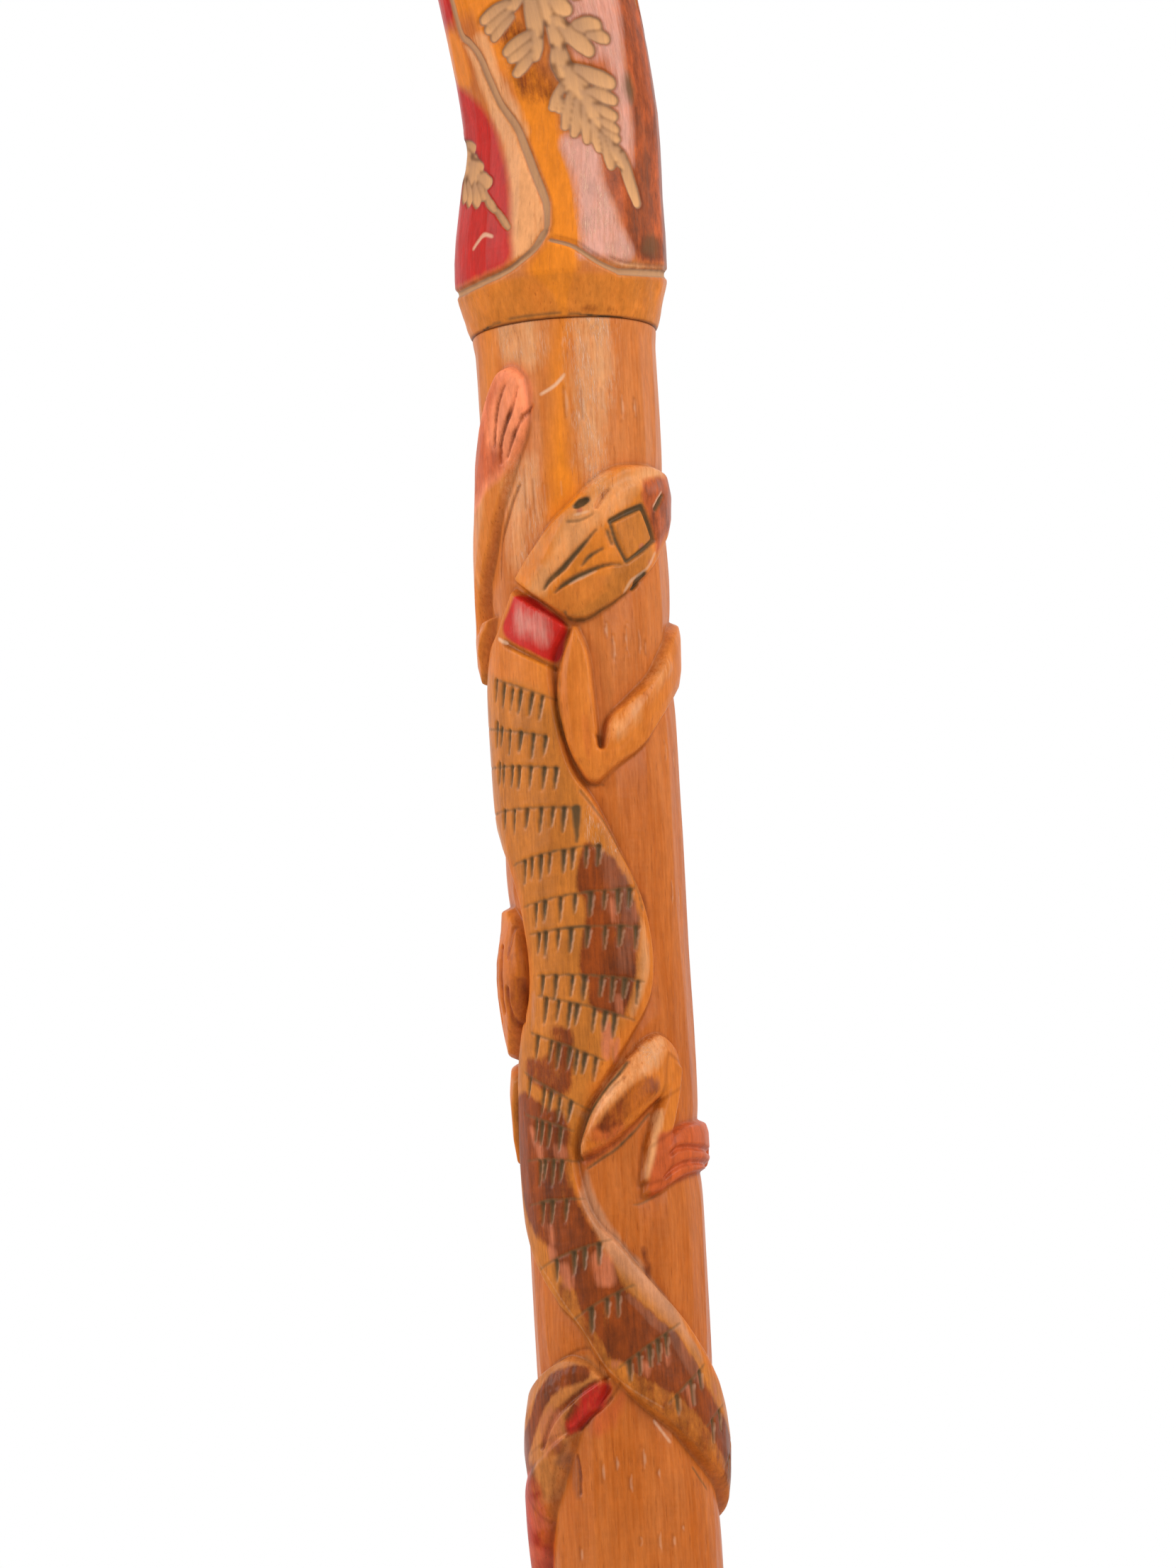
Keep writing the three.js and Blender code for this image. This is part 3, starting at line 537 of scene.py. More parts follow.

# Cuts on the lizard, and pale lines that paint highlights along lit edges: the mark, its strength, the depth,
# the half widths along the line, and its points
LIZARD_CUTS = (
    ("olive", 1, 0.6, (0.4, 0.65, 0.45), 1, 27.4, 4, 26.9, 7.4, 26.5),
    ("olive", 0.6, 0.2, (0.15, 0.2, 0.12), -4.5, 29.5, 1.5, 29.5, 8, 28.9, 10.5, 28.4),
    # pale line above the line under the eye: painted highlight
    ("pale", 0.7, 0, (0.14, 0.14), 0, 28.6, 8, 28.2),
    ("umber", 0.35, 0.5, (0.3, 0.4, 0.2), 12.3, 27.7, 14.5, 26.7, 17.5, 25.8, 20.3, 25.1),
    ("olive", 0.9, 0.5, (0.3, 0.45, 0.3), 53, 27.5, 58, 26.2, 62.5, 25.2),
    # pale line beside the cut above it: painted highlight on its lit edge
    ("pale", 0.8, 0, (0.14, 0.18, 0.12), 51, 27.2, 56, 25.8, 61, 24.7),
    ("olive", 0.8, 0.4, (0.26, 0.3, 0.26), 20, 30.3, 23, 32.8, 28.5, 35.4),
    ("olive", 0.9, 0.5, (0.42, 0.5, 0.46), 19.5, 29.7, 30, 28.4, 41, 27.3),
    ("olive", 0.9, 0.5, (0.46, 0.46, 0.4), 41, 27.3, 46, 29.5, 50.5, 31.9),
    ("olive", 0.85, 0.45, (0.42, 0.34, 0.22), 50.5, 31.9, 39, 33.7, 28.5, 35.4),
    ("olive", 0.8, 0.3, (0.22, 0.2), 17.5, 31, 20, 33),
    ("olive", 0.8, 0.45, (0.1, 0.22, 0.34, 0.46, 0.38, 0.1), 11.5, 30.8, 6, 32.3, 0.5, 33.8, -8.5, 36, -17,
     37.6, -21, 38.9),
    ("olive", 0.75, 0.35, (0.15, 0.3, 0.12), 15, 33.5, 7, 34.6, 2, 36),
    ("olive", 0.75, 0.5, (0.1, 0.22, 0.34, 0.45, 0.42, 0.3, 0.1), 25.5, 35.9, 18.5, 35.8, 10.5, 36.3, 1.8,
     37.2, -6, 38, -10.5, 38.6, -14.5, 39.4),
    # pale line under the jaw cut: painted highlight on its lit edge
    ("pale", 0.5, 0, (0.15, 0.25, 0.15), 10.5, 36.7, 1.8, 37.6, -6, 38.4),
    ("olive", 1, 0.6, (0.6, 0.85, 0.7), 42.5, 37, 39.5, 37.7, 36.5, 38.4),
    # pale line along the head's lower edge: painted highlight
    ("pale", 0.6, 0, (0.2, 0.2, 0.2), 27.5, 39.7, 32, 38, 40, 36.8, 46, 35.6, 52, 33.6),
    ("seam", 0.7, 0.5, (0.45, 0.4, 0.25), -51, 45.3, -37, 47.2, -27, 48.6, -18.5, 50),
    ("amber", 0.9, 0, (0.14, 0.16, 0.12), -46, 46.5, -32, 48.3, -21, 49.8),
    ("pale", 0.9, 0.1, (0.2, 0.25), -58, 44.4, -51, 45.3),
    ("seam", 0.8, 0.3, (0.2, 0.25, 0.2), -38, 38.6, -20.5, 41.1, -9, 43.9),
    ("olive", 0.45, 0.3, (0.14, 0.18, 0.18, 0.14), -6, 44.5, -8.8, 46.2, -12.5, 48, -14.5, 50.2, -15.5, 52.6,
     -16.5, 55, -16.3, 57.8, -14.3, 60.1, -11, 62.5, -6, 65.1, -1, 66.5, 9, 66.9),
    ("seam", 0.7, 0.1, (0.14, 0.16, 0.1), -15, 55, -14.8, 57.8, -12.8, 60.1),
    ("seam", 0.9, 0.4, (0.3, 0.12), 6, 60, 6.5, 61.7),
    ("olive", 0.6, 0.2, (0.18, 0.2, 0.15), -6.5, 67.6, 2, 70.5, 9.5, 73.2, 15.5, 76.1, 21.5, 79, 25, 82, 27.5,
     84.9),
    ("olive", 0.8, 0.2, (0.16, 0.2, 0.16), -9, 42.1, -7.5, 43, 0.7, 43.3, 7, 42.9, 14.5, 41.9, 21, 41.1, 26.5,
     40.2, 32, 39.5),
    ("olive", 0.8, 0.35, (0.25, 0.3, 0.2), 12.5, 106.3, 7, 107.9, 0, 109.5, -7.5, 111.6, -13, 113.5, -16.5,
     115.2, -19, 116.8, -20.5, 119.4),
    ("seam", 0.7, 0.1, (0.12, 0.12, 0.12), 10, 108.4, 0, 110.4, -12, 114, -17.6, 117),
    ("olive", 0.8, 0.2, (0.15, 0.2, 0.15), -16.5, 120.7, -7, 119.5, 2, 118.4, 11.5, 116.7, 19.5, 115.1, 27,
     113.4),
    ("plum", 0.9, 0.6, (0.2, 0.42, 0.45, 0.45), 37, 119.3, 43, 118.4, 54, 118.1, 75, 118, 95, 118),
    ("plum", 0.9, 0.6, (0.2, 0.42, 0.45, 0.45), 32.5, 122.5, 38.5, 121.4, 47.5, 120.5, 63, 120, 95, 119.8),
    ("olive", 0.7, 0.15, (0.1, 0.15, 0.12), 12, 126.3, 18, 126, 24.5, 125.4, 30.5, 124.7),
    ("umber", 0.5, 0.4, (0.35, 0.2), -62, 85.5, -63, 90),
    ("umber", 0.6, 0.45, (0.4, 0.3), -56, 93, -57, 99),
    ("umber", 0.7, 0.5, (0.45, 0.3), -66, 94, -67, 100),
    ("umber", 0.7, 0.5, (0.5, 0.4), -72, 88, -74, 97),
    ("umber", 0.7, 0.5, (0.5, 0.4), -82, 86, -84, 98),
    ("umber", 0.75, 0.4, (0.12, 0.3, 0.18), -39, 8.6, -46, 12.4, -50, 17.3),
    ("umber", 0.75, 0.4, (0.12, 0.3, 0.3, 0.14), -30, 9.3, -36.5, 12.8, -44, 16.6, -46, 19.8),
    ("umber", 0.75, 0.4, (0.12, 0.3, 0.3, 0.14), -23.5, 11.9, -30, 13.8, -37, 16.9, -41.5, 19.3),
    ("seam", 0.8, 0.3, (0.2, 0.25, 0.2), -37, 23.1, -43.5, 25.2, -50.5, 28.5, -57, 31.6, -60, 35.7),
    ("olive", 0.6, 0.2, (0.15, 0.1), 4, 104.2, 4, 106.5),
    ("plum", 0.6, 0, (0.5, 0.8, 1.1), 4.5, 139.2, 12, 141, 18.5, 142.6, 25.5, 144, 32.5, 145.6, 39, 147.8,
     46.5, 150.5),
    ("pale", 0.35, 0.1, (0.12, 0.12, 0.12), -57, 133, -47, 135.9, -40, 138.2, -33, 140.5, -26, 142.9, -19.5,
     145.5, -12, 148.5, -5, 150.4, 4, 152.2, 13.5, 153.7, 22.5, 155),
    ("pale", 0.7, 0, (0.18, 0.18), 17.5, 156.5, 28, 159.6),
    ("olive", 0.8, 0.1, (0.15, 0.15), 46, 163, 60, 166),
    ("olive", 0.8, 0.15, (0.7, 0.2), -9.2, 70.2, -9.8, 75),
)

# Crests that the carver left on the lizard: half width, height, and points
LIZARD_RIDGES = (
    (1.1, 0.3, 15, 29.6, 17, 28.4, 20, 27.1, 24, 26, 29, 25.2, 35.5, 24.5, 39.5, 24.3),
    (0.9, 0.25, -19, 34.4, -7, 29.6, 7.5, 26, 20, 23.9, 33, 22.3, 49.5, 21.7, 62, 21.9),
    (0.9, 0.25, -4.5, 46.2, -9, 50.6, -9.5, 55, -8, 60, -6, 63),
    (0.9, 0.25, 1, 46, 3, 48.6, 5, 51.7, 7, 53.9, 6.5, 59),
    (1.3, 0.3, 8, 61, 16, 60.3, 25.5, 58.3, 35, 55.7, 45, 52.8, 58, 49.7),
    (1, 0.25, 20.5, 108, 10.5, 109.9, 0.5, 112, -8, 114.2, -13, 116.3),
)


def scales(sheet):
    """Ink lines across the back, each with a row of slender notches that hang from it."""
    for rows, rise in ((SCALE_ROWS, 1.35), (TAIL_ROWS, 0.0)):
        for number, (left, left_drop, right, right_drop, *notches) in enumerate(rows):
            ends = crown([(left, left_drop), (right, right_drop)], rise)
            line = [ends[0], ((ends[0][0] + ends[1][0]) / 2, (left_drop + right_drop) / 2 - 0.2), ends[1]]
            if left <= -90:
                line.insert(0, (-98, left_drop - 0.5))
            sheet.line(line, (0.12, 0.14, 0.11), 0.2, "olive", 0.8, knife=True)
            slope = (right_drop - left_drop) / (math.radians(ends[1][0] - ends[0][0]) * SHAFT_ROUND)
            for place, angle in enumerate(notches):
                top = np.interp(angle, (left, right), (left_drop, right_drop)) + 0.1
                turn = crown([(angle, top)], rise)[0][0]
                length = 2.95 + 0.4 * math.sin(3.1 * place + 1.7 * number)
                half = 0.33 + 0.06 * math.sin(2.3 * place + number)
                sheet.notch(turn, top, length, half, -1.6 - 2.0 * slope)
    for angle, drop in ((-44, 111), (-37, 111.5), (-29, 112.5)):
        sheet.stroke([(angle, drop), (angle - 1, drop + 1.8)], (0.35, 0.15), 0.25, "cream", 0.9)


def lizard(sheet):
    """The lizard's forms and crests, then the carver's dyes, lines, scales and cuts over them."""
    for rows, profile, wall in LIZARD_FORMS:
        sheet.form(rows, LIZARD_RELIEF, profile, wall)
    sheet.mark("amber", 0.36 * smooth(sheet.raised / 0.8))
    for width, height, *points in LIZARD_RIDGES:
        sheet.ridge(pairs(points), width, height)
    sheet.dye(LIZARD_DYES_AND_HIGHLIGHTS)
    sheet.dye([("salmon", 0.72, 0.5, *outline) for outline in SALMON])
    sheet.dye([("salmon", 0.9, 0.3, angle - 2, drop, angle, drop - 0.4, angle + 2, drop, angle, drop + 0.4)
               for angle, drop in ((3, 27.9), (40, 33.2), (47, 35.2))])
    sheet.lines(LIZARD_CUTS)
    scales(sheet)


# The snake below it: its head as stations, and its body as a band wound down the shaft
SNAKE_RELIEF = 2.6
SNAKE_TAIL_RELIEF = 1.0
SNAKE_HEAD = (
    (-12, 150.3, -14, 152.4, 0.3), (-24, 147.7, -24, 155.4, 0.5), (-38, 146.6, -38, 157.9, 0.66),
    (-52, 147.3, -49, 161.4, 0.76), (-67, 148.5, -56, 165.1, 0.86), (-86, 150.7, -61, 167.7, 0.93),
    (-106, 155.8, -64, 169.3, 0.97),
)
SNAKE_HEAD_PROFILE = ((0, 0.3, 0.8, 1), (0.55, 1, 0.9, 0.5))
SNAKE_START = -92
SNAKE_DROP = 166
SNAKE_BODY = 236
SNAKE_TURNS = 1.6
SNAKE_HALF = 7
SNAKE_TAIL_HALF = 1.3
SNAKE_TAPER = 2.5
SNAKE_RING = 11.0
SNAKE_ROWS = 42
SNAKE_SLOPE = math.atan2(2 * math.pi * SHAFT_ROUND * SNAKE_TURNS, SNAKE_BODY)

# Dyes and cuts on the snake's head, in rows like the lizard's
SNAKE_DYES = (
    ("ochre", 0.6, 0.6, -12, 149.4, -29, 146.6, -60, 148, -112, 158, -112, 168, -56, 166, -38, 158, -10,
     153.4),
    ("tan", 0.48, 0.6, -12, 149.4, -20, 148, -29, 146.6, -40, 146.8, -60, 148, -90, 153, -112, 158, -112, 168,
     -80, 168, -56, 166, -44, 162, -38, 158, -20, 155.4, -10, 153.4),
    ("umber", 0.95, 0.4, -22, 148.9, -28, 148.2, -36, 148.1, -49, 149, -60, 151, -70, 154.2, -90, 158, -108,
     162, -108, 165, -90, 161.5, -70, 158.5, -60, 155.2, -50, 152.6, -40, 151.2, -29, 150.6, -23, 149.9),
    ("plum", 0.2, 0.5, -38, 149, -49, 149.4, -62, 152, -60, 153.6, -46, 151.6, -40, 151),
    ("salmon", 0.5, 0.8, -58, 155, -45, 153.5, -42, 157, -48, 160, -56, 160),
    ("vermilion", 0.55, 0.9, -24, 154.8, -10, 153.4, -1, 152, -2, 154, -10, 157.5, -24, 158),
    ("scarlet", 0.6, 0.5, -12, 150.5, -9.5, 151.2, -9.5, 152.5, -16.5, 154.2, -27.5, 156, -39, 157.6, -40,
     156, -34, 154.5, -31, 153, -25.5, 151.6, -18.5, 150.9),
    ("umber", 0.6, 0.8, -12, 150.8, -24, 151.6, -38, 154.6, -40, 157, -24, 155.4, -10, 152.6),
    ("umber", 0.9, 0.35, -33, 153.4, -40, 155.4, -39.4, 157.4, -34, 156.8, -30, 155.4),
    ("umber", 0.62, 0.4, -54, 158.4, -48, 158, -42, 158.4, -44, 160, -52, 160.4),
    ("plum", 0.5, 0.6, -50, 161, -40, 160.2, -36, 162, -36, 166, -40, 166.4, -46, 163.5),
    ("scarlet", 0.4, 0.9, -62, 164, -80, 162, -112, 164, -112, 180, -84, 182, -70, 180, -66, 172),
    ("umber", 0.8, 0.9, -68, 161, -112, 162, -112, 182, -84, 186, -72, 170),
    ("salmon", 0.8, 0.7, -76, 166, -66, 166, -66, 170, -78, 170),
    ("salmon", 0.8, 0.7, -92, 172, -74, 173, -74, 177, -90, 178),
)
SNAKE_CUTS = (
    ("umber", 0.75, 0.4, (0.25, 0.5, 0.55, 0.4), -11, 150, -20, 151, -31, 152.3, -42, 154, -52, 156.5, -58,
     159),
    ("umber", 0, 0.4, (0.4, 0.9, 1.1, 0.8), -11, 151.6, -18, 152.6, -27, 153.8, -36, 155.8),
    ("umber", 0.9, 0.5, (0.2, 0.28, 0.14), -40, 157.9, -33, 156.6, -25, 155.2, -17, 154.3, -9.5, 153),
    ("seam", 0.8, 0.1, (0.1, 0.15, 0.1), -2.5, 150.9, -6, 152, -10, 153),
    ("umber", 0.8, 0.2, (0.2, 0.3, 0.2), -38, 160.5, -36, 163, -36, 166),
    ("seam", 0.8, 0.1, (0.15, 0.15), -48, 147.3, -37, 146.2, -29, 145.8, -22.5, 145.9, -18, 147.4, -12, 149),
)


def snake_half(share):
    """Half width of the snake's body, which narrows with a power of the share of its length."""
    return SNAKE_HALF + (SNAKE_TAIL_HALF - SNAKE_HALF) * share**SNAKE_TAPER


def snake_angle(share):
    """Angle of the snake's middle, which falls evenly with the share of its length."""
    return SNAKE_START - 360.0 * SNAKE_TURNS * share


def snake_band(sheet):
    """The snake's body from the helix that its middle follows: rounded over the band, dyed in dark rings and
    notched in rows."""
    share = (sheet.run - SNAKE_DROP) / SNAKE_BODY
    middle = snake_angle(share)
    across = np.radians(wrap(sheet.angle - middle)) * SHAFT_ROUND * math.cos(SNAKE_SLOPE)
    along = share + across * math.sin(SNAKE_SLOPE) / SNAKE_BODY
    kept = np.clip(along, 0.0, 1.0)
    half = snake_half(kept)
    ends = np.minimum(along, 1.0 - along) * SNAKE_BODY
    depth = np.minimum(half - np.abs(across), ends + 6.0 * (kept < 0.5))
    relief = SNAKE_RELIEF + (SNAKE_TAIL_RELIEF - SNAKE_RELIEF) * kept
    shoulder = np.sqrt(1.0 - (1.0 - np.clip(depth / np.maximum(half * 0.75, 1.0), 0.0, 1.0)) ** 2)
    sheet.lift(relief * shoulder, depth)
    back = smooth((depth - 1.4) / 1.2)
    phase = kept * SNAKE_BODY / SNAKE_RING * 2 * math.pi
    rings = 0.5 + 0.5 * np.sin(phase + 0.9 * np.cos(across / half * 3.0))
    left = np.minimum(smooth((-66.0 - wrap(sheet.angle)) / 8.0) + smooth((kept - 0.12) / 0.1), 1.0)
    sheet.mark("vermilion", 0.34 * back * left)
    sheet.mark("scarlet", 0.3 * back * smooth((0.35 - kept) / 0.3) * left)
    sheet.mark("umber", 0.95 * back * smooth((rings - 0.55) / 0.2))
    pale = np.exp(-((np.abs(across) - 0.8 * half) / 0.35) ** 2) * (rings < 0.5)
    sheet.mark("tan", 0.7 * back * pale)
    for row in range(5, SNAKE_ROWS - 2):
        station = row / SNAKE_ROWS
        width = snake_half(station)
        turn = snake_angle(station)
        drop = SNAKE_DROP + SNAKE_BODY * station
        reach = math.degrees(width * math.cos(SNAKE_SLOPE) / SHAFT_ROUND)
        fall = width * math.sin(SNAKE_SLOPE)
        line = [(turn + s * 0.86 * reach, drop + s * 0.86 * fall) for s in (-1, 0, 1)]
        sheet.stroke(line, (0.2, 0.25, 0.2), 0.2, "olive", 0.7, knife=True)
        count = max(int(width * 2 / 2.2), 1)
        for place in range(count):
            s = -0.78 + 1.56 * (place + 0.5) / count
            start = (turn + s * reach, drop + s * fall + 0.3)
            end = (start[0] - 8.0, start[1] + 2.2)
            sheet.stroke([start, end], (0.45, 0.2, 0.1), 0.45, "olive", 0.9, fade=True)


def snake(sheet):
    """The snake: its wound body, and its head with dark bands, small teeth marks and an open red mouth."""
    snake_band(sheet)
    sheet.form(SNAKE_HEAD, SNAKE_RELIEF, SNAKE_HEAD_PROFILE, 0.8)
    sheet.dye(SNAKE_DYES)
    sheet.lines(SNAKE_CUTS)
    for number, angle in enumerate((-33, -38, -42, -47, -52, -57, -63)):
        drop = 148.4 + 0.0022 * (angle + 33) ** 2
        half = 0.14 + 0.03 * (number % 3)
        sheet.stroke([(angle, drop), (angle - 1.2, drop + 2.4)], (half, half * 0.8), 0.15, "cream", 0.9)


# Gouge marks in the plain ground that the photograph shows: angle, and the drops where each starts and ends
TICKS = (
    (-1, 9.7, 14.5), (9.5, 10.2, 15), (24, 9.5, 14), (36, 10.5, 15), (48, 11, 14.5), (-32, 20.5, 27),
    (-25, 22, 28), (-18.5, 23.5, 27.5), (-8, 23, 25.5), (17, 43.6, 46), (20, 45.5, 49.5), (31, 43.7, 48.3),
    (40, 44.6, 48.3), (46, 46, 48.3), (-18, 161.5, 164.8), (-8.5, 161.2, 163.3), (0.5, 163.8, 166.4),
    (9, 160, 163.5), (20, 163, 164.6), (4, 172.5, 174), (17.5, 172, 174.7), (27, 172.3, 174.2),
    (-38, 173.2, 175.3), (35, 171, 172), (60, 60, 63), (75, 61, 64), (58, 80, 83.5), (70, 81, 84),
    (84, 80, 83),
)


def ticks(sheet):
    """Slender gouge marks in uneven rows: pale where the tool bruised the varnish, with painted shade along
    their left.
    """
    marks = list(TICKS)
    scatter = np.random.default_rng(11)
    for drop in np.arange(14.0, FOOT_RUN - 30.0, 13.0):
        low, high = (115, 245) if drop < 190 else (-180, 180)
        for angle in scatter.uniform(low, high, 3 if drop < 190 else 7):
            start = drop + scatter.uniform(-2, 2)
            marks.append((angle, start, start + scatter.uniform(2.2, 4.6)))
    for number, (angle, start, end) in enumerate(marks):
        bow = 1.1 * math.sin(2.7 * number)
        middle = (angle + bow, (start + end) / 2)
        sheet.line([(angle, start), middle, (angle, end)], (0.05, 0.18, 0.07), 0.14, "pale", 0.42)
        # a thin dark line along the left of each mark: painted shade of its wall
        left = [(angle - 1.2, start), (middle[0] - 1.4, middle[1]), (angle - 1.2, end)]
        sheet.line(left, (0.05, 0.1, 0.05), 0.0, "seam", 0.75)


# Dyes on the ground round the lizard, with pale patches that paint the sheen of highlights under the joint
GROUND_DYES_AND_SHEEN = (
    ("amber", 0.75, 1.6, -3, 0, 4, 0, 4, 2, 0, 4.5, 0, 8, 0, 16, 0, 20, 4, 22, 7, 24.5, 9, 28, -18, 29, -16,
     24.5, -17, 22, -14.5, 20, -13, 16, -9.5, 11.5, -10, 8, -8, 4.5),
    # the cream and pale fibres rows paint the sheen of highlights on the facets under the joint; the amber
    # rows are dye
    ("cream", 0.55, 1.2, -45, -1, -14, -1, -16, 6.5, -30, 6.5, -45, 5),
    ("cream", 0.5, 1.4, -45, 20, -20, 20, -20, 30, -30, 35, -48, 35),
    ("fibres_and_sheen", 0.7, 1.2, -45, -1, -16, -1, -16, 6, -45, 5),
    ("fibres_and_sheen", 0.6, 1.2, -44, 21, -22, 21, -24, 32, -44, 34),
    ("amber", 0.55, 2, -66, -1, -47, -1, -50, 12, -66, 12),
    ("cream", 0.5, 1.6, 4, -1, 32, -1, 32, 8, 24, 16, 22, 26, 8, 26, 3, 20, 2, 8),
    ("fibres_and_sheen", 0.9, 1.4, 3, -1, 32, -1, 31, 9, 22, 17, 20, 25, 9, 25, 3, 18),
)


def shaft_radius(drop):
    """Plain radius by drop: straight lines between the top, the end of the carving and the straight foot."""
    return np.interp(drop, [0.0, CARVING_END, FOOT_RUN - FOOT_STRAIGHT, FOOT_RUN],
                     [SHAFT_TOP_RADIUS, CARVING_END_RADIUS, SHAFT_FOOT_RADIUS, SHAFT_FOOT_RADIUS])


def shaft_sheet(angles, runs):
    """The whole carved shaft on one sheet, with its radius: plain radius, facets, forms, moats and cuts."""
    sheet = Sheet(angles, runs, SHAFT_ROUND)
    sheet.dye(GROUND_DYES_AND_SHEEN)
    lizard(sheet)
    snake(sheet)
    ticks(sheet)
    sheet.line([(-17, 10.7), (-8, 9.6), (-1, 8.1)], (0.18, 0.22, 0.15), 0.06, "pale", 0.9)
    plain = 1.0 - smooth(sheet.raised / 0.5)
    ease = smooth(sheet.run / 3.0) * smooth((JOINT - TIP_TOP - sheet.run) / 8.0)
    facets = (1.1 * sheet.whittle(3) * plain + 0.55 * sheet.whittle(7, 16.0, 18.0) * (1.0 - plain)) * ease
    waves = (0.08 * sheet.noise(9.0, 5, 2.0) + 0.04 * sheet.noise(3.0, 6, 2.5)) * ease
    lip = -0.15 * (1.0 - smooth(sheet.run / 0.3))
    sheet.mark("seam", 0.9 * (1.0 - smooth((sheet.run - 0.05) / 0.25)))
    raised = softened(sheet.raised + sheet.moat * plain + sheet.cuts + facets)
    sheet.marks = {name: softened(values) for name, values in sheet.marks.items()}
    return sheet, shaft_radius(sheet.run) + raised + waves + lip


# Handle

def neck_offset(run):
    """Sideways drift of the neck's middle: straight lines through the places seen."""
    return np.interp(run, [0, 3, 7, 11, 15, 19, 23, 27, 31, 35, 39, 43, 47],
                     [0, 0, 0.06, 0.2, 0.45, 0.75, 1.12, 1.36, 1.32, 0.97, 0.53, -0.05, -0.64])


def neck_radius(run):
    """Collar and neck: it swells from the joint to the collar, then draws in to the neck."""
    return np.interp(run, [0, 0.5, 1.5, 3.2, 5, 6.6, 8.5, 11, 14, 19, 23, 27, 33, 47], [
        13.25, 13.45, 13.75, 14.2, 14.65, 14.95, 15.02, 15, 14.85, 14.4, 14.12, 13.92, 13.86, 13.9])


def handle_path(run):
    """Middle, lean and radius along the handle: the neck, a slow bend, the crook's arch, a straight and the
    nose."""
    places = [NECK, NECK + EASE, NECK + EASE + CROOK, HANDLE_RUN]
    top = NECK_LEAN + EASE_DEGREES + CROOK_DEGREES
    leans = [NECK_LEAN, NECK_LEAN + EASE_DEGREES, top, top]
    lean = np.where(run > NECK, np.interp(run, places, leans), NECK_LEAN * smooth(2.0 * run / NECK - 1.0))
    fine = np.linspace(NECK, HANDLE_RUN, 4000)
    turn = np.radians(np.interp(fine, places, leans))
    step = fine[1] - fine[0]
    x = neck_offset(NECK) - np.cumsum(np.sin(turn)) * step
    z = NECK + np.cumsum(np.cos(turn)) * step
    middle_x = np.where(run <= NECK, neck_offset(run), np.interp(run, fine, x))
    middle_z = np.where(run <= NECK, run, np.interp(run, fine, z))
    share = (run - NECK - EASE) / CROOK
    crook = smooth(share) * np.clip(share, 0, 1)
    radius = np.where(run <= NECK, neck_radius(run), NECK_RADIUS + (NOSE_RADIUS - NECK_RADIUS) * crook)
    past = np.clip((run - (HANDLE_RUN - NOSE_ROUND)) / NOSE_ROUND, 0, 1)
    radius = radius * np.sqrt(np.maximum(1.0 - past**2, 0.0))
    return middle_x, middle_z, np.radians(lean), radius


# Leaf sprays cut through the dye: each gouge cut's base and tip, as angle and height, and its half width
RIGHT_LEAF = (
    (1.4, 47, 2.8, 42.2, 0.9), (2.8, 42.6, 4.4, 38.4, 1), (4.2, 38.8, 4.6, 34.8, 1.3), (4, 36, 14, 31.4, 1.6),
    (12, 32.6, 22, 28, 1.5), (12.6, 35.2, 32.8, 33.2, 1.05), (17, 32.1, 33.3, 30.8, 0.85),
    (19.6, 30.2, 32.7, 28.6, 0.8), (22, 28.4, 33.4, 26.7, 0.75), (26, 26.6, 34, 25.4, 0.7),
    (29, 25.4, 34, 22.6, 0.8), (30, 24.6, 39, 21.4, 0.9), (37, 23.1, 48, 16.6, 1), (2, 33, -4.3, 30.1, 0.7),
    (0, 32, -1, 29.6, 0.5), (7, 32, 2, 27.2, 0.65), (10.5, 31, 7.5, 26.1, 0.7), (14, 30, 15, 25.1, 0.7),
    (19, 28.2, 22.5, 24, 0.75), (24, 26, 30, 21.5, 0.75), (7.8, 41.6, 22, 37.8, 1.15),
    (18, 41.3, 30, 41.1, 1.1), (25, 40, 34.5, 39.2, 0.9), (5, 45.6, 12.7, 43.8, 1.2), (16, 46, 22, 45.8, 1),
    (3, 43.2, 10, 41.2, 0.9), (-6, 47, -7, 41, 1.1), (-7, 42, -10.6, 38, 1), (-10, 41.4, -27, 39.5, 0.8),
    (-10, 40, -24.5, 38.3, 0.8), (-10, 38.8, -22.8, 36, 0.8), (-19, 46.4, -38.5, 45.2, 0.8),
    (-20, 45.4, -36.5, 43.6, 0.8), (-20, 44.4, -33.4, 42.2, 0.8), (-12, 47, -20, 45.6, 0.9),
)
LEFT_LEAF = (
    (-104, 29.5, -88, 26.8, 2.1), (-92, 27.2, -74, 24.2, 2.5), (-78, 25, -62, 22.5, 2.2),
    (-75, 25, -56, 23.2, 0.9), (-66, 23, -47, 20.6, 1), (-64, 21.5, -56, 18.2, 0.9),
    (-58, 21, -50, 18.6, 0.6), (-50, 19.5, -40, 16.4, 0.55), (-40, 16.6, -30, 13.4, 0.45),
    (-80, 28, -66, 26.6, 0.8), (-84, 23, -74, 19.8, 0.9), (-74, 22, -66, 18.8, 0.85),
)
RIDGE = (
    (-8, 12), (-7.2, 13.6), (-7.8, 16.1), (-10.7, 18.2), (-15.5, 20.9), (-21, 24.2), (-28, 28.3), (-37, 31.8),
    (-42.3, 35.6), (-47.7, 40.5), (-54, 43), (-61, 45.3),
)
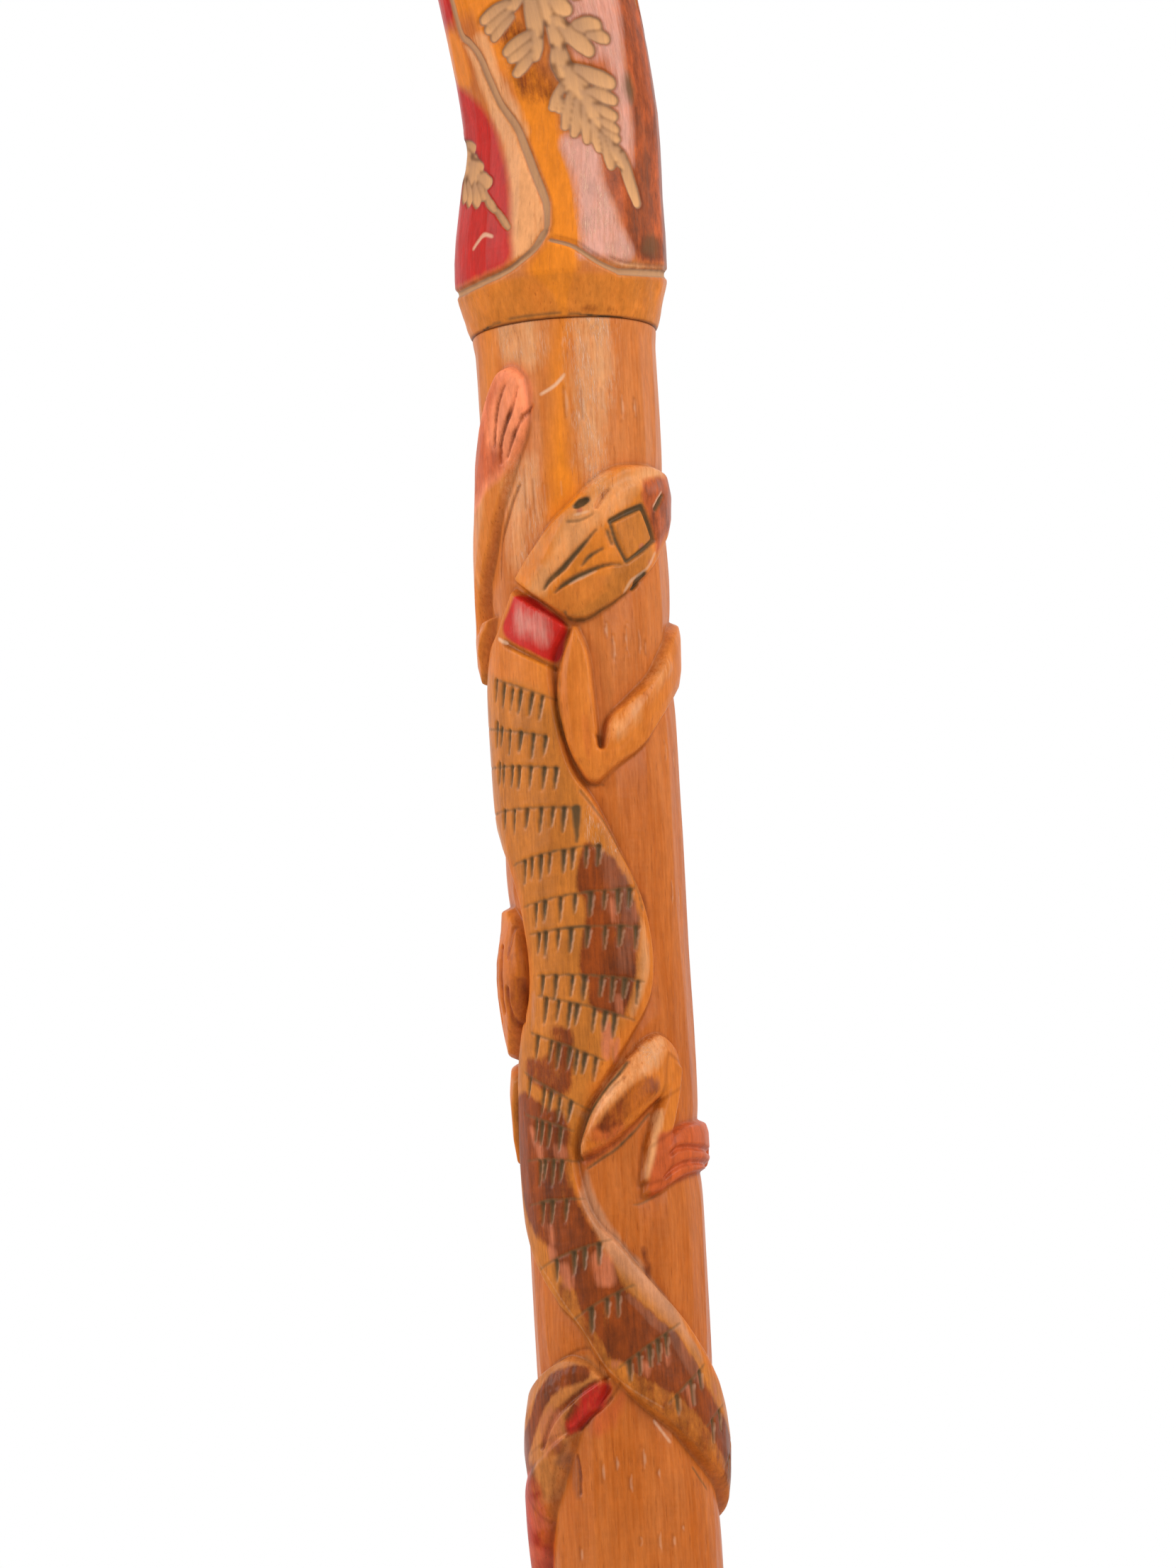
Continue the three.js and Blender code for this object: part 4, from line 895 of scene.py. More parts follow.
# The other two ridges start this much further round, and every ridge drifts to its own side of the crook
RIDGE_TURNS = ((0.0, -70.0), (136.0, 66.0), (-112.0, -188.0))
BACK_TURN = RIDGE_TURNS[1][0]
DRIFT_START = 45.0
DRIFT_RUN = 30.0
HEMS = [
    ((0.62, 0.5, 0.5, 0.6), -9, 11.8, -13.5, 10, -20.8, 8.5, -30.6, 7.2, -47.7, 6.3, -76, 6.1, -100, 7.6,
     -120, 11.5),
    ((0.3, 0.4, 0.45), -5.4, 10.85, 6, 9.85, 14.8, 8.4, 24, 7.1, 34, 6.2),
    ((0.55, 0.65, 0.65, 0.5), 34, 6.2, 52, 6.5, 88, 7.7, 110, 9.4, 128, 12),
    ((0.4, 0.6, 0.6, 0.4), 128, 12, 140, 9.6, 160, 7.4, 180, 6.5, 205, 7, 225, 9, 240, 11.5),
]

# Dyes of the handle, in rows like the lizard's
HANDLE_DYES = (
    ("amber", 1, 1.2, -3, -1, -6, 3, -18, 6.8, -6, 11, -6, 16, -11.5, 20.3, -19, 25, -24, 30, -27, 34, -34,
     37.5, -40, 41.5, -44, 49, -22, 49, -13, 37, -4.5, 33.5, -3, 30, -1, 25, 6, 20.3, 9.5, 15.7, 11, 11, 9,
     6.8, 5, 3, 4, -1),
    ("umber", 0.55, 1.4, -33, 43, -28, 36, -20, 32, -6, 31.5, -3, 33, -8, 38, -14, 43),
    ("cream", 0.9, 0.7, -20, 8.8, -28, 9, -29, 13, -30, 16, -31, 20, -36, 25, -43.5, 30, -50, 35, -55, 40,
     -62, 44.6, -54, 43, -47.7, 40.5, -42.3, 35.6, -37, 31.8, -28, 28.3, -21, 24.2, -15.5, 20.9, -10.7, 18.2,
     -7.8, 16.1, -8, 12, -13.5, 10),
    ("cream", 0.7, 0.7, -24, 26.5, -34, 30.6, -40, 35.2, -45, 40, -50, 43.4, -38, 43, -33, 37, -26, 32, -19,
     27),
    ("russet", 0.55, 0.8, 10, 8, 11, 11, 6, 20.3, -1, 25, 8, 26, 22, 23.6, 31, 16, 43, 9, 34, 7.4, 20, 8.4),
    ("violet", 0.72, 0.8, 10, 8, 11, 11, 9.5, 15.7, 6, 20.3, -1, 25, 8, 26, 22, 23.6, 25, 19, 31, 16, 36,
     12.5, 43, 9, 34, 7.4, 20, 8.4),
    # pale fibres over the violet patch: painted sheen of highlights
    ("fibres_and_sheen", 0.8, 0.8, 10, 8, 11, 11, 9.5, 15.7, 6, 20.3, -1, 25, 8, 26, 22, 23.6, 25, 19, 31, 16, 36, 12.5,
     43, 9, 34, 7.4, 20, 8.4),
    ("russet", 0.6, 1.2, 2, 49, 10, 44, 12, 37, 33, 30, 36, 21.5, 45, 22, 46, 36, 50, 49),
    ("violet", 0.6, 1.2, 2, 49, 10, 44, 12, 37, 33, 36, 33, 30, 30, 24, 36, 21.5, 45, 22, 46, 36, 50, 49),
    # pale fibres over the right patch: painted sheen of highlights
    ("fibres_and_sheen", 0.5, 1.4, 10, 47, 12, 37, 33, 36, 33, 24, 45, 22, 46, 36, 48, 48),
    ("russet", 0.95, 1, 22, 24, 25, 19.5, 31, 16, 36, 12.5, 43, 9.5, 52, 8, 88, 9, 125, 12.5, 110, 20, 95, 32,
     78, 44, 76, 50, 48, 50, 47, 36, 45, 22, 36, 21, 28, 24),
    ("umber", 0.5, 1.2, 24, 23, 31, 17, 43, 10.5, 60, 8.4, 110, 11, 96, 32, 78, 46, 50, 46, 46, 34, 45, 22,
     36, 21),
    ("plum", 0.25, 1, 38, 13, 60, 9, 70, 9, 66, 20, 58, 30, 50, 30, 48, 20),
    ("umber", 0.95, 0.9, 46, 9.4, 56, 8.4, 72, 8.6, 78, 10.6, 70, 12.6, 58, 12.2, 50, 11.6),
    ("olive", 0.42, 1, 50, 9.4, 56, 9, 66, 9.2, 68, 11.4, 60, 12.6, 52, 11),
    ("amber", 0.7, 0.8, 84, 25, 96, 22, 84, 44, 74, 48, 76, 40),
    ("scarlet", 0.9, 1, -78, 37.6, -58, 33.9, -46, 29.8, -39.4, 26, -34.4, 22.6, -30.5, 19, -29, 15.6, -27.7,
     12.2, -27.5, 8.85, -41.5, 7.4, -76, 7, -100, 8.6, -117, 12, -128, 22, -140, 34, -120, 40, -95, 40),
    ("amber", 0.9, 0.9, -90, 40.5, -64, 36.4, -58, 38.6, -62, 44, -76, 47, -96, 47),
    ("cream", 0.8, 0.4, 27, 7.6, 34, 6.9, 52, 7.1, 88, 8.2, 88, 8.8, 52, 7.7, 34, 7.6),
    ("umber", 0.35, 0.5, 12, 0.6, 20, 0.5, 20, 1.4, 12, 1.5),
    ("umber", 0.5, 0.4, 28, 0.7, 36, 0.7, 35, 1.3, 28, 1.4),
    ("umber", 0.7, 1, 41, 32, 47, 29.4, 54, 32.6, 51, 35.4, 43, 35),
    ("umber", 1, 0.5, 42, 32.2, 46, 31, 50, 32.4, 48.6, 34, 44, 33.6),
    ("olive", 0.6, 0.9, 41.4, 32.2, 46, 30.6, 51, 32.4, 49, 34.4, 43.6, 34),
)
LEAF_CLEARS = ("olive", "scarlet", "violet", "umber", "amber", "cream", "russet", "plum", "fibres_and_sheen", "tan")
END_RING = HANDLE_RUN - 20.0


def fan(base, tip, half, fingers, spread):
    """A cluster of gouge cuts: a short stalk, and fingers that open from it towards a tip."""
    (a0, r0), (a1, r1) = base, tip
    reach = math.radians(a1 - a0) * HANDLE_ROUND
    cuts = [(a0, r0, a0 + 0.4 * (a1 - a0), r0 + 0.4 * (r1 - r0), half * 1.3)]
    for finger in range(fingers):
        side = (finger / (fingers - 1) - 0.5) * 2
        end = (a1 - math.degrees(side * spread * (r1 - r0) / HANDLE_ROUND), r1 + side * spread * reach)
        share = 0.3 - 0.1 * abs(side)
        start = (a0 + (a1 - a0) * share, r0 + (r1 - r0) * share)
        length = 1.0 - 0.2 * side * side
        end = (start[0] + (end[0] - start[0]) * length, start[1] + (end[1] - start[1]) * length)
        cuts.append((*start, *end, half))
    return cuts


def crook_spray(middle, first, last, seed):
    """A stem along the crook with fans of gouge cuts that branch to either side of it in turn."""
    scatter = np.random.default_rng(seed)
    runs = np.arange(first, last, SPRAY_PITCH)
    stem = [(middle + 8.0 * math.sin(run / 13.0 + seed), run) for run in runs]
    cuts = [(*start, *end, 0.8) for start, end in zip(stem, stem[1:])]
    for place in range(1, len(stem) - 1):
        side = 1 if place % 2 else -1
        angle, run = stem[place]
        tip = (angle + side * scatter.uniform(24, 31), run + scatter.uniform(1.0, 4.5))
        cuts += fan((angle, run), tip, scatter.uniform(0.75, 0.95), 5, 0.5)
    return cuts


def panels(sheet):
    """Three dyed panels on the handle, parted by cut ridge lines and hems, each with a leaf spray cut
    through."""
    for widths, *points in HEMS:
        sheet.line(pairs(points), widths, 0.45, "leaf", 0.82)
        # a thin dark line along the upper edge of each hem: painted shadow
        aside = (math.degrees(0.55 / sheet.radius), 0.62)
        sheet.line(pairs(points) + aside, (0.12, 0.16, 0.12), 0.0, "seam", 0.75)
    sheet.line([(27, 8.3), (34, 7.7), (46, 7.5), (88, 8.5)], (0.14, 0.2, 0.2), 0.2, "seam", 0.7)
    for turn, end in RIDGE_TURNS:
        low = [(angle + turn, run) for angle, run in RIDGE]
        last = low[-1][0]
        drift = []
        for run in np.arange(54.0, HANDLE_RUN - 21.0, 8.0):
            share = min((run - DRIFT_START) / DRIFT_RUN, 1.0)
            drift.append((last + (end - last) * share + 3.0 * math.sin(run / 17.0 + turn), run))
        widths = np.interp(np.arange(len(low) + len(drift)), [0, 1, 3, 10, 40], [0.35, 0.5, 0.7, 0.7, 0.6])
        sheet.line(low + drift, widths, 0.5, "leaf", 0.82)
        # a thin dark line beside each ridge line: painted shade on its one side
        aside = (math.degrees(0.75 / sheet.radius), 0.1)
        sheet.line(pairs(low + drift) + aside, (0.12, 0.14, 0.12), 0.0, "seam", 0.8)
    back = [(a + BACK_TURN, r, b + BACK_TURN, s, half)
            for a, r, b, s, half in RIGHT_LEAF if r < 37 and a > -2]
    for cuts in (RIGHT_LEAF, LEFT_LEAF, back, crook_spray(0.0, 47.0, 196.0, 2),
                 crook_spray(116.0, 44.0, 196.0, 5), crook_spray(-128.0, 50.0, 196.0, 8)):
        sheet.spray(cuts)


def handle_dyes(sheet):
    """Dyes of the handle: the panels seen from the front, and the same dyes streaked along the crook."""
    collar = 1.0 - smooth((sheet.run - 5.4) / 1.2)
    sheet.mark("amber", 0.52 * collar)
    sheet.mark("ochre", (0.36 + 0.2 * sheet.noise(4.0, 41)) * collar)
    turn = wrap(sheet.angle)
    above = smooth((sheet.run - 9.5) / 2.0) * smooth((END_RING - sheet.run) / 1.5)
    ridges = []
    for start, end in RIDGE_TURNS:
        low = np.interp(sheet.run, [r for a, r in RIDGE], [a for a, r in RIDGE]) + start
        ridges.append(low + (end - low) * np.clip((sheet.run - DRIFT_START) / DRIFT_RUN, 0, 1))

    def panel(first, second):
        """Mask between two ridges: eased in past the first, times eased out before the second."""
        return smooth(wrap(turn - ridges[first]) / 3.0) * smooth(wrap(ridges[second] - turn) / 3.0)

    back = above * panel(1, 2)
    streaks = 0.5 + 0.5 * sheet.noise(7.0, 21, 3.0)
    sheet.mark("umber", 0.85 * back * smooth((streaks - 0.3) / 0.3))
    sheet.mark("russet", 0.9 * back)
    crook = above * smooth((sheet.run - 44.0) / 6.0)
    front = crook * panel(0, 1)
    side = crook * panel(2, 0)
    wander = turn + 14.0 * sheet.noise(14.0, 23, 2.0)
    sheet.mark("violet", 0.85 * front * smooth((wander + 18.0) / 16.0) * smooth((48.0 - wander) / 14.0))
    # pale fibres over the front panel: painted sheen of highlights
    sheet.mark("fibres_and_sheen", 0.5 * front * smooth((wander + 10.0) / 16.0) * smooth((45.0 - wander) / 14.0))
    sheet.mark("amber", front * smooth((-14.0 - wander) / 12.0))
    sheet.mark("russet", 0.9 * front * smooth((wander - 36.0) / 14.0))
    sheet.mark("scarlet", side * smooth((streaks + 0.2) / 0.4))
    sheet.dye(HANDLE_DYES)


def handle_sheet(angles, runs):
    """The whole handle on one sheet, with its detail: facets that stay under the round, panels and leaf
    cuts."""
    sheet = Sheet(angles, runs, HANDLE_ROUND)
    handle_dyes(sheet)
    panels(sheet)
    cleared = 1.0 - 0.95 * smooth((sheet.marks["leaf"] - 0.3) / 0.4)
    for name in LEAF_CLEARS:
        sheet.marks[name] *= cleared
    sheet.line([(-56, 11.5), (-47, 13), (-40, 12.5)], (0.2, 0.3, 0.2), 0.12, "pale", 0.95)
    crack = [(-60, 0.05), (-30, 0.6), (-10, 0.65), (0, 0.5), (20, 0.1), (40, 0.02)]
    sheet.line(crack, (0.08, 0.1, 0.08), 0.15, "olive", 1.0)
    off = np.abs(sheet.run - END_RING)
    sheet.cut(0.45 * np.sqrt(1.0 - np.clip(off / 0.6, 0, 1) ** 2))
    sheet.mark("leaf", 0.9 * (1.0 - smooth((off - 0.4) / 0.3)))
    ease = smooth((sheet.run - 1.0) / 4.0) * smooth((HANDLE_RUN - 6.0 - sheet.run) / 8.0)
    facets = 0.8 * sheet.whittle(17, width=30.0) * ease
    rough = -0.05 * (1.0 + sheet.noise(1.2, 31)) * (1.0 - smooth((sheet.run - 5.0) / 2.0))
    rough = rough * smooth(sheet.run / 0.5)
    waves = 0.05 * (sheet.noise(8.0, 25, 2.0) - 1.0) * ease
    waves += 0.22 * smooth(sheet.run / 8.0) * smooth((60.0 - sheet.run) / 12.0)
    lip = -0.15 * (1.0 - smooth(sheet.run / 0.3))
    sheet.mark("seam", 0.9 * (1.0 - smooth((sheet.run - 0.04) / 0.2)))
    sheet.marks = {name: softened(values) for name, values in sheet.marks.items()}
    return sheet, softened(facets + sheet.cuts) + waves + rough + lip


# Meshes

def attribute(mesh, name, kind, key, values):
    """Writes one attribute of the points, and gives the two poles zeros."""
    width = values.size // (len(mesh.vertices) - 2)
    layer = mesh.attributes.new(name, kind, "POINT")
    layer.data.foreach_set(key, np.append(values.ravel(), np.zeros(2 * width)).astype(np.float32))


def write_grid(name, points, marks=None, grain=None, normals=None):
    """Closed mesh from rings of points: quads between neighbouring rings, each listed so that it splits along
    its shorter diagonal, and a fan to a pole at each end."""
    rows, columns = points.shape[:2]
    first, last = points[0].mean(0), points[-1].mean(0)
    vertices = np.concatenate([points.reshape(-1, 3), [first, last]]).astype(np.float32)
    row, column = np.meshgrid(np.arange(rows - 1), np.arange(columns), indexing="ij")
    after = (column + 1) % columns
    quads = np.stack([row * columns + column, row * columns + after, (row + 1) * columns + after,
                      (row + 1) * columns + column], -1).reshape(-1, 4)
    corner = vertices[quads]
    diagonals = np.linalg.norm(corner[:, :2] - corner[:, 2:], axis=2)
    longer = diagonals[:, 0] > diagonals[:, 1]
    quads[longer] = np.roll(quads[longer], -1, axis=1)
    around = np.arange(columns)
    onward = (around + 1) % columns
    low = np.stack([np.full(columns, rows * columns), onward, around], -1)
    high = np.stack([np.full(columns, rows * columns + 1), (rows - 1) * columns + around,
                     (rows - 1) * columns + onward], -1)
    fans = np.concatenate([low, high])
    mesh = bpy.data.meshes.new(name)
    mesh.vertices.add(len(vertices))
    mesh.vertices.foreach_set("co", vertices.ravel())
    loops = np.concatenate([quads.ravel(), fans.ravel()]).astype(np.int32)
    mesh.loops.add(len(loops))
    mesh.loops.foreach_set("vertex_index", loops)
    starts = np.concatenate([np.arange(len(quads)) * 4, len(quads) * 4 + np.arange(len(fans)) * 3])
    mesh.polygons.add(len(starts))
    mesh.polygons.foreach_set("loop_start", starts.astype(np.int32))
    mesh.update(calc_edges=True)
    mesh.validate()
    mesh.polygons.foreach_set("use_smooth", np.ones(len(mesh.polygons), bool))
    thing = bpy.data.objects.new(name, mesh)
    bpy.context.scene.collection.objects.link(thing)
    outward(mesh)
    if marks:
        for mark, values in marks.items():
            attribute(mesh, mark, "FLOAT", "value", values)
        attribute(mesh, "grain", "FLOAT_VECTOR", "vector", grain)
        poles = np.stack([first - points[1].mean(0), last - points[-2].mean(0)])
        poles /= np.maximum(np.linalg.norm(poles, axis=1, keepdims=True), 1e-12)
        whole = np.concatenate([normals.reshape(-1, 3), poles]).astype(np.float32)
        mesh.normals_split_custom_set_from_vertices(whole)
    return thing


def outward(mesh):
    """Turns the faces out if the closed mesh's signed volume is negative."""
    mesh.calc_loop_triangles()
    corners = np.empty(len(mesh.loop_triangles) * 3, np.int32)
    mesh.loop_triangles.foreach_get("vertices", corners)
    place = np.empty(len(mesh.vertices) * 3, np.float32)
    mesh.vertices.foreach_get("co", place)
    a, b, c = place.reshape(-1, 3)[corners.reshape(-1, 3)].transpose(1, 0, 2).astype(float)
    if np.einsum("ij,ij->i", a, np.cross(b, c)).sum() < 0:
        mesh.flip_normals()


def ring_normals(points):
    """Unit normals of a rolled grid: the cross product of its differences along the rings and from ring to
    ring, turned away from the rings' middles."""
    around = np.roll(points, -1, axis=1) - np.roll(points, 1, axis=1)
    along = np.gradient(points, axis=0)
    normal = np.cross(around, along)
    away = points - points.mean(axis=1, keepdims=True)
    normal *= np.sign((normal * away).sum())
    return normal / np.maximum(np.linalg.norm(normal, axis=2, keepdims=True), 1e-12)


def make_piece(thing, body, node, material):
    """Gives a mesh its material in a slot and its body, and hides the imported node that it stands for."""
    thing.data.materials.append(material)
    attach(thing, body)
    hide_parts(node)


# Columns close together over the front and wider over the back, and the steps from ring to ring
FRONT = 105
ANGLES = np.concatenate([np.linspace(-FRONT, FRONT, 233, endpoint=False),
                         np.linspace(FRONT, 360 - FRONT, 75, endpoint=False)])
FINE_EDGE = [0, 0.1, 0.2, 0.35]
CARVED_STEP = 0.2
BAND_STEP = 0.6
CROOK_STEP = 0.5
PLAIN_STEP = 3
SHAFT_PIECES = (
    ("shaft_head", 0, 60), ("shaft_body", 60, 120), ("shaft_tail", 120, 180), ("shaft_snake", 180, 300),
    ("shaft_low_snake", 300, 420), ("shaft_foot", 420, FOOT_RUN),
)
HANDLE_PIECES = (("handle_neck", 0, 50), ("handle_arch", 50, 135), ("handle_nose", 135, HANDLE_RUN))


def rings(radius, turn, height):
    """Points in metres: x = r sin a, y = -r cos a, z = height."""
    return np.stack([radius * np.sin(turn), -radius * np.cos(turn), 0 * turn + height], -1) * MM


def cut_lengths(pieces, sheet, radius, points, side, node):
    """Cuts the rings into lengths that share their end rings, and gives each the normals of the whole. Two
    rings down the dowel's hole, on that side of the joint, come before the first length. The grain coordinate
    is the unrolled place at the carved radius, so that grain runs straight through a cut."""
    heights = np.array([[JOINT + side * (DOWEL_END + GLUE_GAP)], [JOINT]])
    bore = rings(DOWEL_RADIUS + GLUE_GAP, np.radians(ANGLES)[None] + 0 * heights, heights)
    normals = ring_normals(points)
    swell = radius / sheet.radius
    grain = np.stack([sheet.around[0] * swell, sheet.around[1] * swell, sheet.run], -1) * MM
    for name, first, last in pieces:
        rows = np.nonzero((sheet.runs > first - 1e-6) & (sheet.runs < last + 1e-6))[0]
        part = slice(rows[0], rows[-1] + 1)
        place, normal, streak = points[part], normals[part], grain[part]
        marks = {mark: values[part] for mark, values in sheet.marks.items()}
        if first == 0:
            place = np.concatenate([bore, place])
            normal = np.concatenate([0 * bore + (0, 0, -side), normal])
            streak = np.concatenate([streak[:1], streak[:1], streak])
            marks = {mark: np.concatenate([0 * v[:2], v]) for mark, v in marks.items()}
        thing = write_grid(name, place, marks, streak, normal)
        make_piece(thing, "stick", node, shared_wood())


def roll_shaft():
    """The shaft: x = r sin a, y = -r cos a, z = joint - drop. Its first ring turns down into the dowel's
    bore, and its last rings are the chamfered foot."""
    runs = np.concatenate([
        FINE_EDGE, np.arange(0.6, 179.9, CARVED_STEP), np.arange(180, 419.9, BAND_STEP),
        np.arange(420, FOOT_RUN - 2, PLAIN_STEP),
        [FOOT_RUN - FOOT_CHAMFER, FOOT_RUN - 0.001, FOOT_RUN]])
    sheet, radius = shaft_sheet(ANGLES, runs)
    radius[-2:] -= FOOT_CHAMFER
    radius[-1] -= FOOT_CHAMFER
    points = rings(radius, np.radians(sheet.angle), JOINT - sheet.run)
    cut_lengths(SHAFT_PIECES, sheet, radius, points, -1, "shaft")


def roll_handle():
    """The handle: middle + r (sin a e - cos a y), with e square to the path. Its rings close in to the nose
    as r = R cos t while the run goes on as R sin t."""
    turn = np.linspace(0.0, math.pi / 2, 20) * 0.985
    runs = np.concatenate([
        FINE_EDGE, np.arange(0.6, 49.9, CARVED_STEP),
        np.arange(50, HANDLE_RUN - NOSE_ROUND - 0.2, CROOK_STEP),
        HANDLE_RUN - NOSE_ROUND + NOSE_ROUND * np.sin(turn)])
    sheet, detail = handle_sheet(ANGLES, runs)
    x, z, lean, radius = handle_path(sheet.run)
    r = radius + detail * np.clip(radius / NOSE_RADIUS, 0, 1)
    turn = np.radians(sheet.angle)
    points = np.stack([x + r * np.sin(turn) * np.cos(lean), -r * np.cos(turn),
                       JOINT + z + r * np.sin(turn) * np.sin(lean)], -1) * MM
    cut_lengths(HANDLE_PIECES, sheet, r, points, 1, "handle")


def turned(name, profile, columns, wobble=lambda radius, height, turn: 0):
    """Surface of revolution: each profile point (radius, height) sweeps a ring, its radius changed by a
    wobble."""
    turn = np.radians(np.linspace(-180, 180, columns, endpoint=False))[None, :]
    radius, height = profile[:, :1], profile[:, 1:]
    return write_grid(name, rings(radius + wobble(radius, height, turn), turn, height))


def soft_corners(corners, radius, steps=5):
    """Rounds each corner of a profile by a quadratic curve that starts and ends a set distance from it."""
    corners = np.asarray(corners, float)
    line = [corners[0]]
    for before, corner, after in zip(corners, corners[1:], corners[2:]):
        into, out = before - corner, after - corner
        reach = min(radius, 0.45 * np.linalg.norm(into), 0.45 * np.linalg.norm(out))
        start = corner + into / np.linalg.norm(into) * reach
        end = corner + out / np.linalg.norm(out) * reach
        t = np.linspace(0, 1, steps)[:, None]
        line.extend((1 - t) ** 2 * start + 2 * t * (1 - t) * corner + t**2 * end)
    line.append(corners[-1])
    return np.array(line)


def tip_profile():
    """Outline of the rubber tip from the middle of its foot, up its flared and ribbed sleeve, and into its
    socket."""
    socket = SHAFT_FOOT_RADIUS + GLUE_GAP
    foot, sleeve = TIP_FOOT_RADIUS, 14.2
    corners = [(0.05, 0), (7, 0), (7, 1.5), (9, 1.5), (9, 0), (foot - 1.2, 0), (foot, 1.2), (foot, 7.8),
               (foot - 1.2, 9), (sleeve, 16)]
    for rib in range(3):
        low = 16 + 6 * (rib + 0.5)
        corners += [(sleeve, low), (sleeve + 0.9, low + 0.5), (sleeve + 0.9, low + 1.9), (sleeve, low + 2.4)]
    corners += [(sleeve, TIP_TOP - 1.2), (sleeve - 1.2, TIP_TOP), (socket + 0.4, TIP_TOP),
                (socket, TIP_TOP - 0.6), (socket, WASHER_LOW), (0.05, WASHER_LOW)]
    return soft_corners(corners, 0.55)


def tread(radius, height, turn):
    """Small blocks moulded round the foot's rim: the radius dips in 24 shallow notches near the ground."""
    low = np.exp(-((height - 4.0) / 2.6) ** 4) * (radius > 16.5)
    return -0.35 * low * smooth((np.cos(turn * 24) - 0.72) / 0.2)


# Materials

class Tree:
    """A node tree written as calls: each call adds a node, sets its values and links its inputs."""

    def __init__(self, tree):
        self.nodes, self.links = tree.nodes, tree.links

    def set(self, node, inputs):
        """Links each input that is given a socket, and sets each other one."""
        for key, value in inputs.items():
            if isinstance(value, bpy.types.NodeSocket):
                self.links.new(value, node.inputs[key])
            else:
                node.inputs[key].default_value = value
        return node

    def add(self, kind, inputs=(), **settings):
        node = self.nodes.new(kind)
        for key, value in settings.items():
            setattr(node, key, value)
        return self.set(node, dict(inputs))

    def maths(self, operation, first, second, clamp=False):
        node = self.add("ShaderNodeMath", {0: first, 1: second}, operation=operation, use_clamp=clamp)
        return node.outputs[0]

    def times(self, first, second, clamp=False):
        return self.maths("MULTIPLY", first, second, clamp)

    def plus(self, first, second, clamp=False):
        return self.maths("ADD", first, second, clamp)

    def minus(self, first, second):
        return self.maths("SUBTRACT", first, second)

    def band(self, value, low, high, to_low=0.0, to_high=1.0):
        """Carries low..high over to another range, and holds it there."""
        node = self.add("ShaderNodeMapRange", {0: value, 1: low, 2: high, 3: to_low, 4: to_high})
        return node.outputs[0]

    def mix(self, factor, first, second, blend="MIX"):
        node = self.add("ShaderNodeMix", {0: factor, 6: first, 7: second}, data_type="RGBA", blend_type=blend)
        return node.outputs[2]

    def tint(self, color, by):
        return self.mix(1.0, color, by, "MULTIPLY")

    def shade(self, color, value):
        gray = self.add("ShaderNodeCombineColor", {0: value, 1: value, 2: value})
        return self.tint(color, gray.outputs[0])

    def noise(self, vector, scale, detail=2.0, rough=0.5, stretch=None):
        """Noise, on a scaled vector where a stretch is given, so that its lumps run along the stick."""
        if stretch:
            vector = self.add("ShaderNodeMapping", {"Vector": vector, "Scale": stretch}).outputs[0]
        inputs = {"Vector": vector, "Scale": scale, "Detail": detail, "Roughness": rough}
        return self.add("ShaderNodeTexNoise", inputs).outputs["Fac"]

    def bump(self, strength, distance, height):
        inputs = {"Strength": strength, "Distance": distance, "Height": height}
        return self.add("ShaderNodeBump", inputs).outputs[0]

    def group(self, name, inputs):
        """Places a shared effect, which is built when it is first asked for."""
        if name not in bpy.data.node_groups:
            GROUPS[name](name)
        return self.add("ShaderNodeGroup", inputs, node_tree=bpy.data.node_groups[name]).outputs


def new_group(name, inputs, outputs):
    """Shader node group with named sockets. An input whose default is None is a vector, and one with four
    values a colour."""
    group = bpy.data.node_groups.new(name, "ShaderNodeTree")
    for label, value in inputs.items():
        kind = "Vector" if value is None else "Color" if isinstance(value, tuple) else "Float"
        socket = group.interface.new_socket(name=label, in_out="INPUT", socket_type="NodeSocket" + kind)
        if value is not None:
            socket.default_value = value
    for label in outputs:
        kind = "Color" if label == "Color" else "Float"
        group.interface.new_socket(name=label, in_out="OUTPUT", socket_type="NodeSocket" + kind)
    tree = Tree(group)
    return tree, tree.add("NodeGroupInput").outputs, tree.add("NodeGroupOutput")


def grain_group(name):
    """Wood grain that runs along the stick: two tones, fine streaks and short dark pores."""
    tree, given, out = new_group(
        name, {"Vector": None, "Light": (0.8, 0.5, 0.2, 1), "Deep": (0.5, 0.2, 0.05, 1), "Contrast": 1.0},
        ("Color", "Streak", "Pores", "Height"))
    wide = tree.noise(given["Vector"], 330.0, 3.0, stretch=(1, 1, 0.14))
    fine = tree.noise(given["Vector"], 2700.0, 3.0, 0.6, (1, 1, 0.05))
    pores = tree.noise(given["Vector"], 4200.0, 1.0, stretch=(1, 1, 0.08))
    streak = tree.plus(tree.times(wide, 0.5), tree.times(fine, 0.5))
    tone = tree.times(tree.band(streak, 0.38, 0.62), given["Contrast"], clamp=True)
    dark = tree.band(pores, 0.66, 0.76)
    tree.set(out, {"Color": tree.mix(tone, given["Deep"], given["Light"]), "Streak": streak, "Pores": dark,
                   "Height": tree.minus(tree.times(fine, 0.7), tree.times(dark, 0.6))})


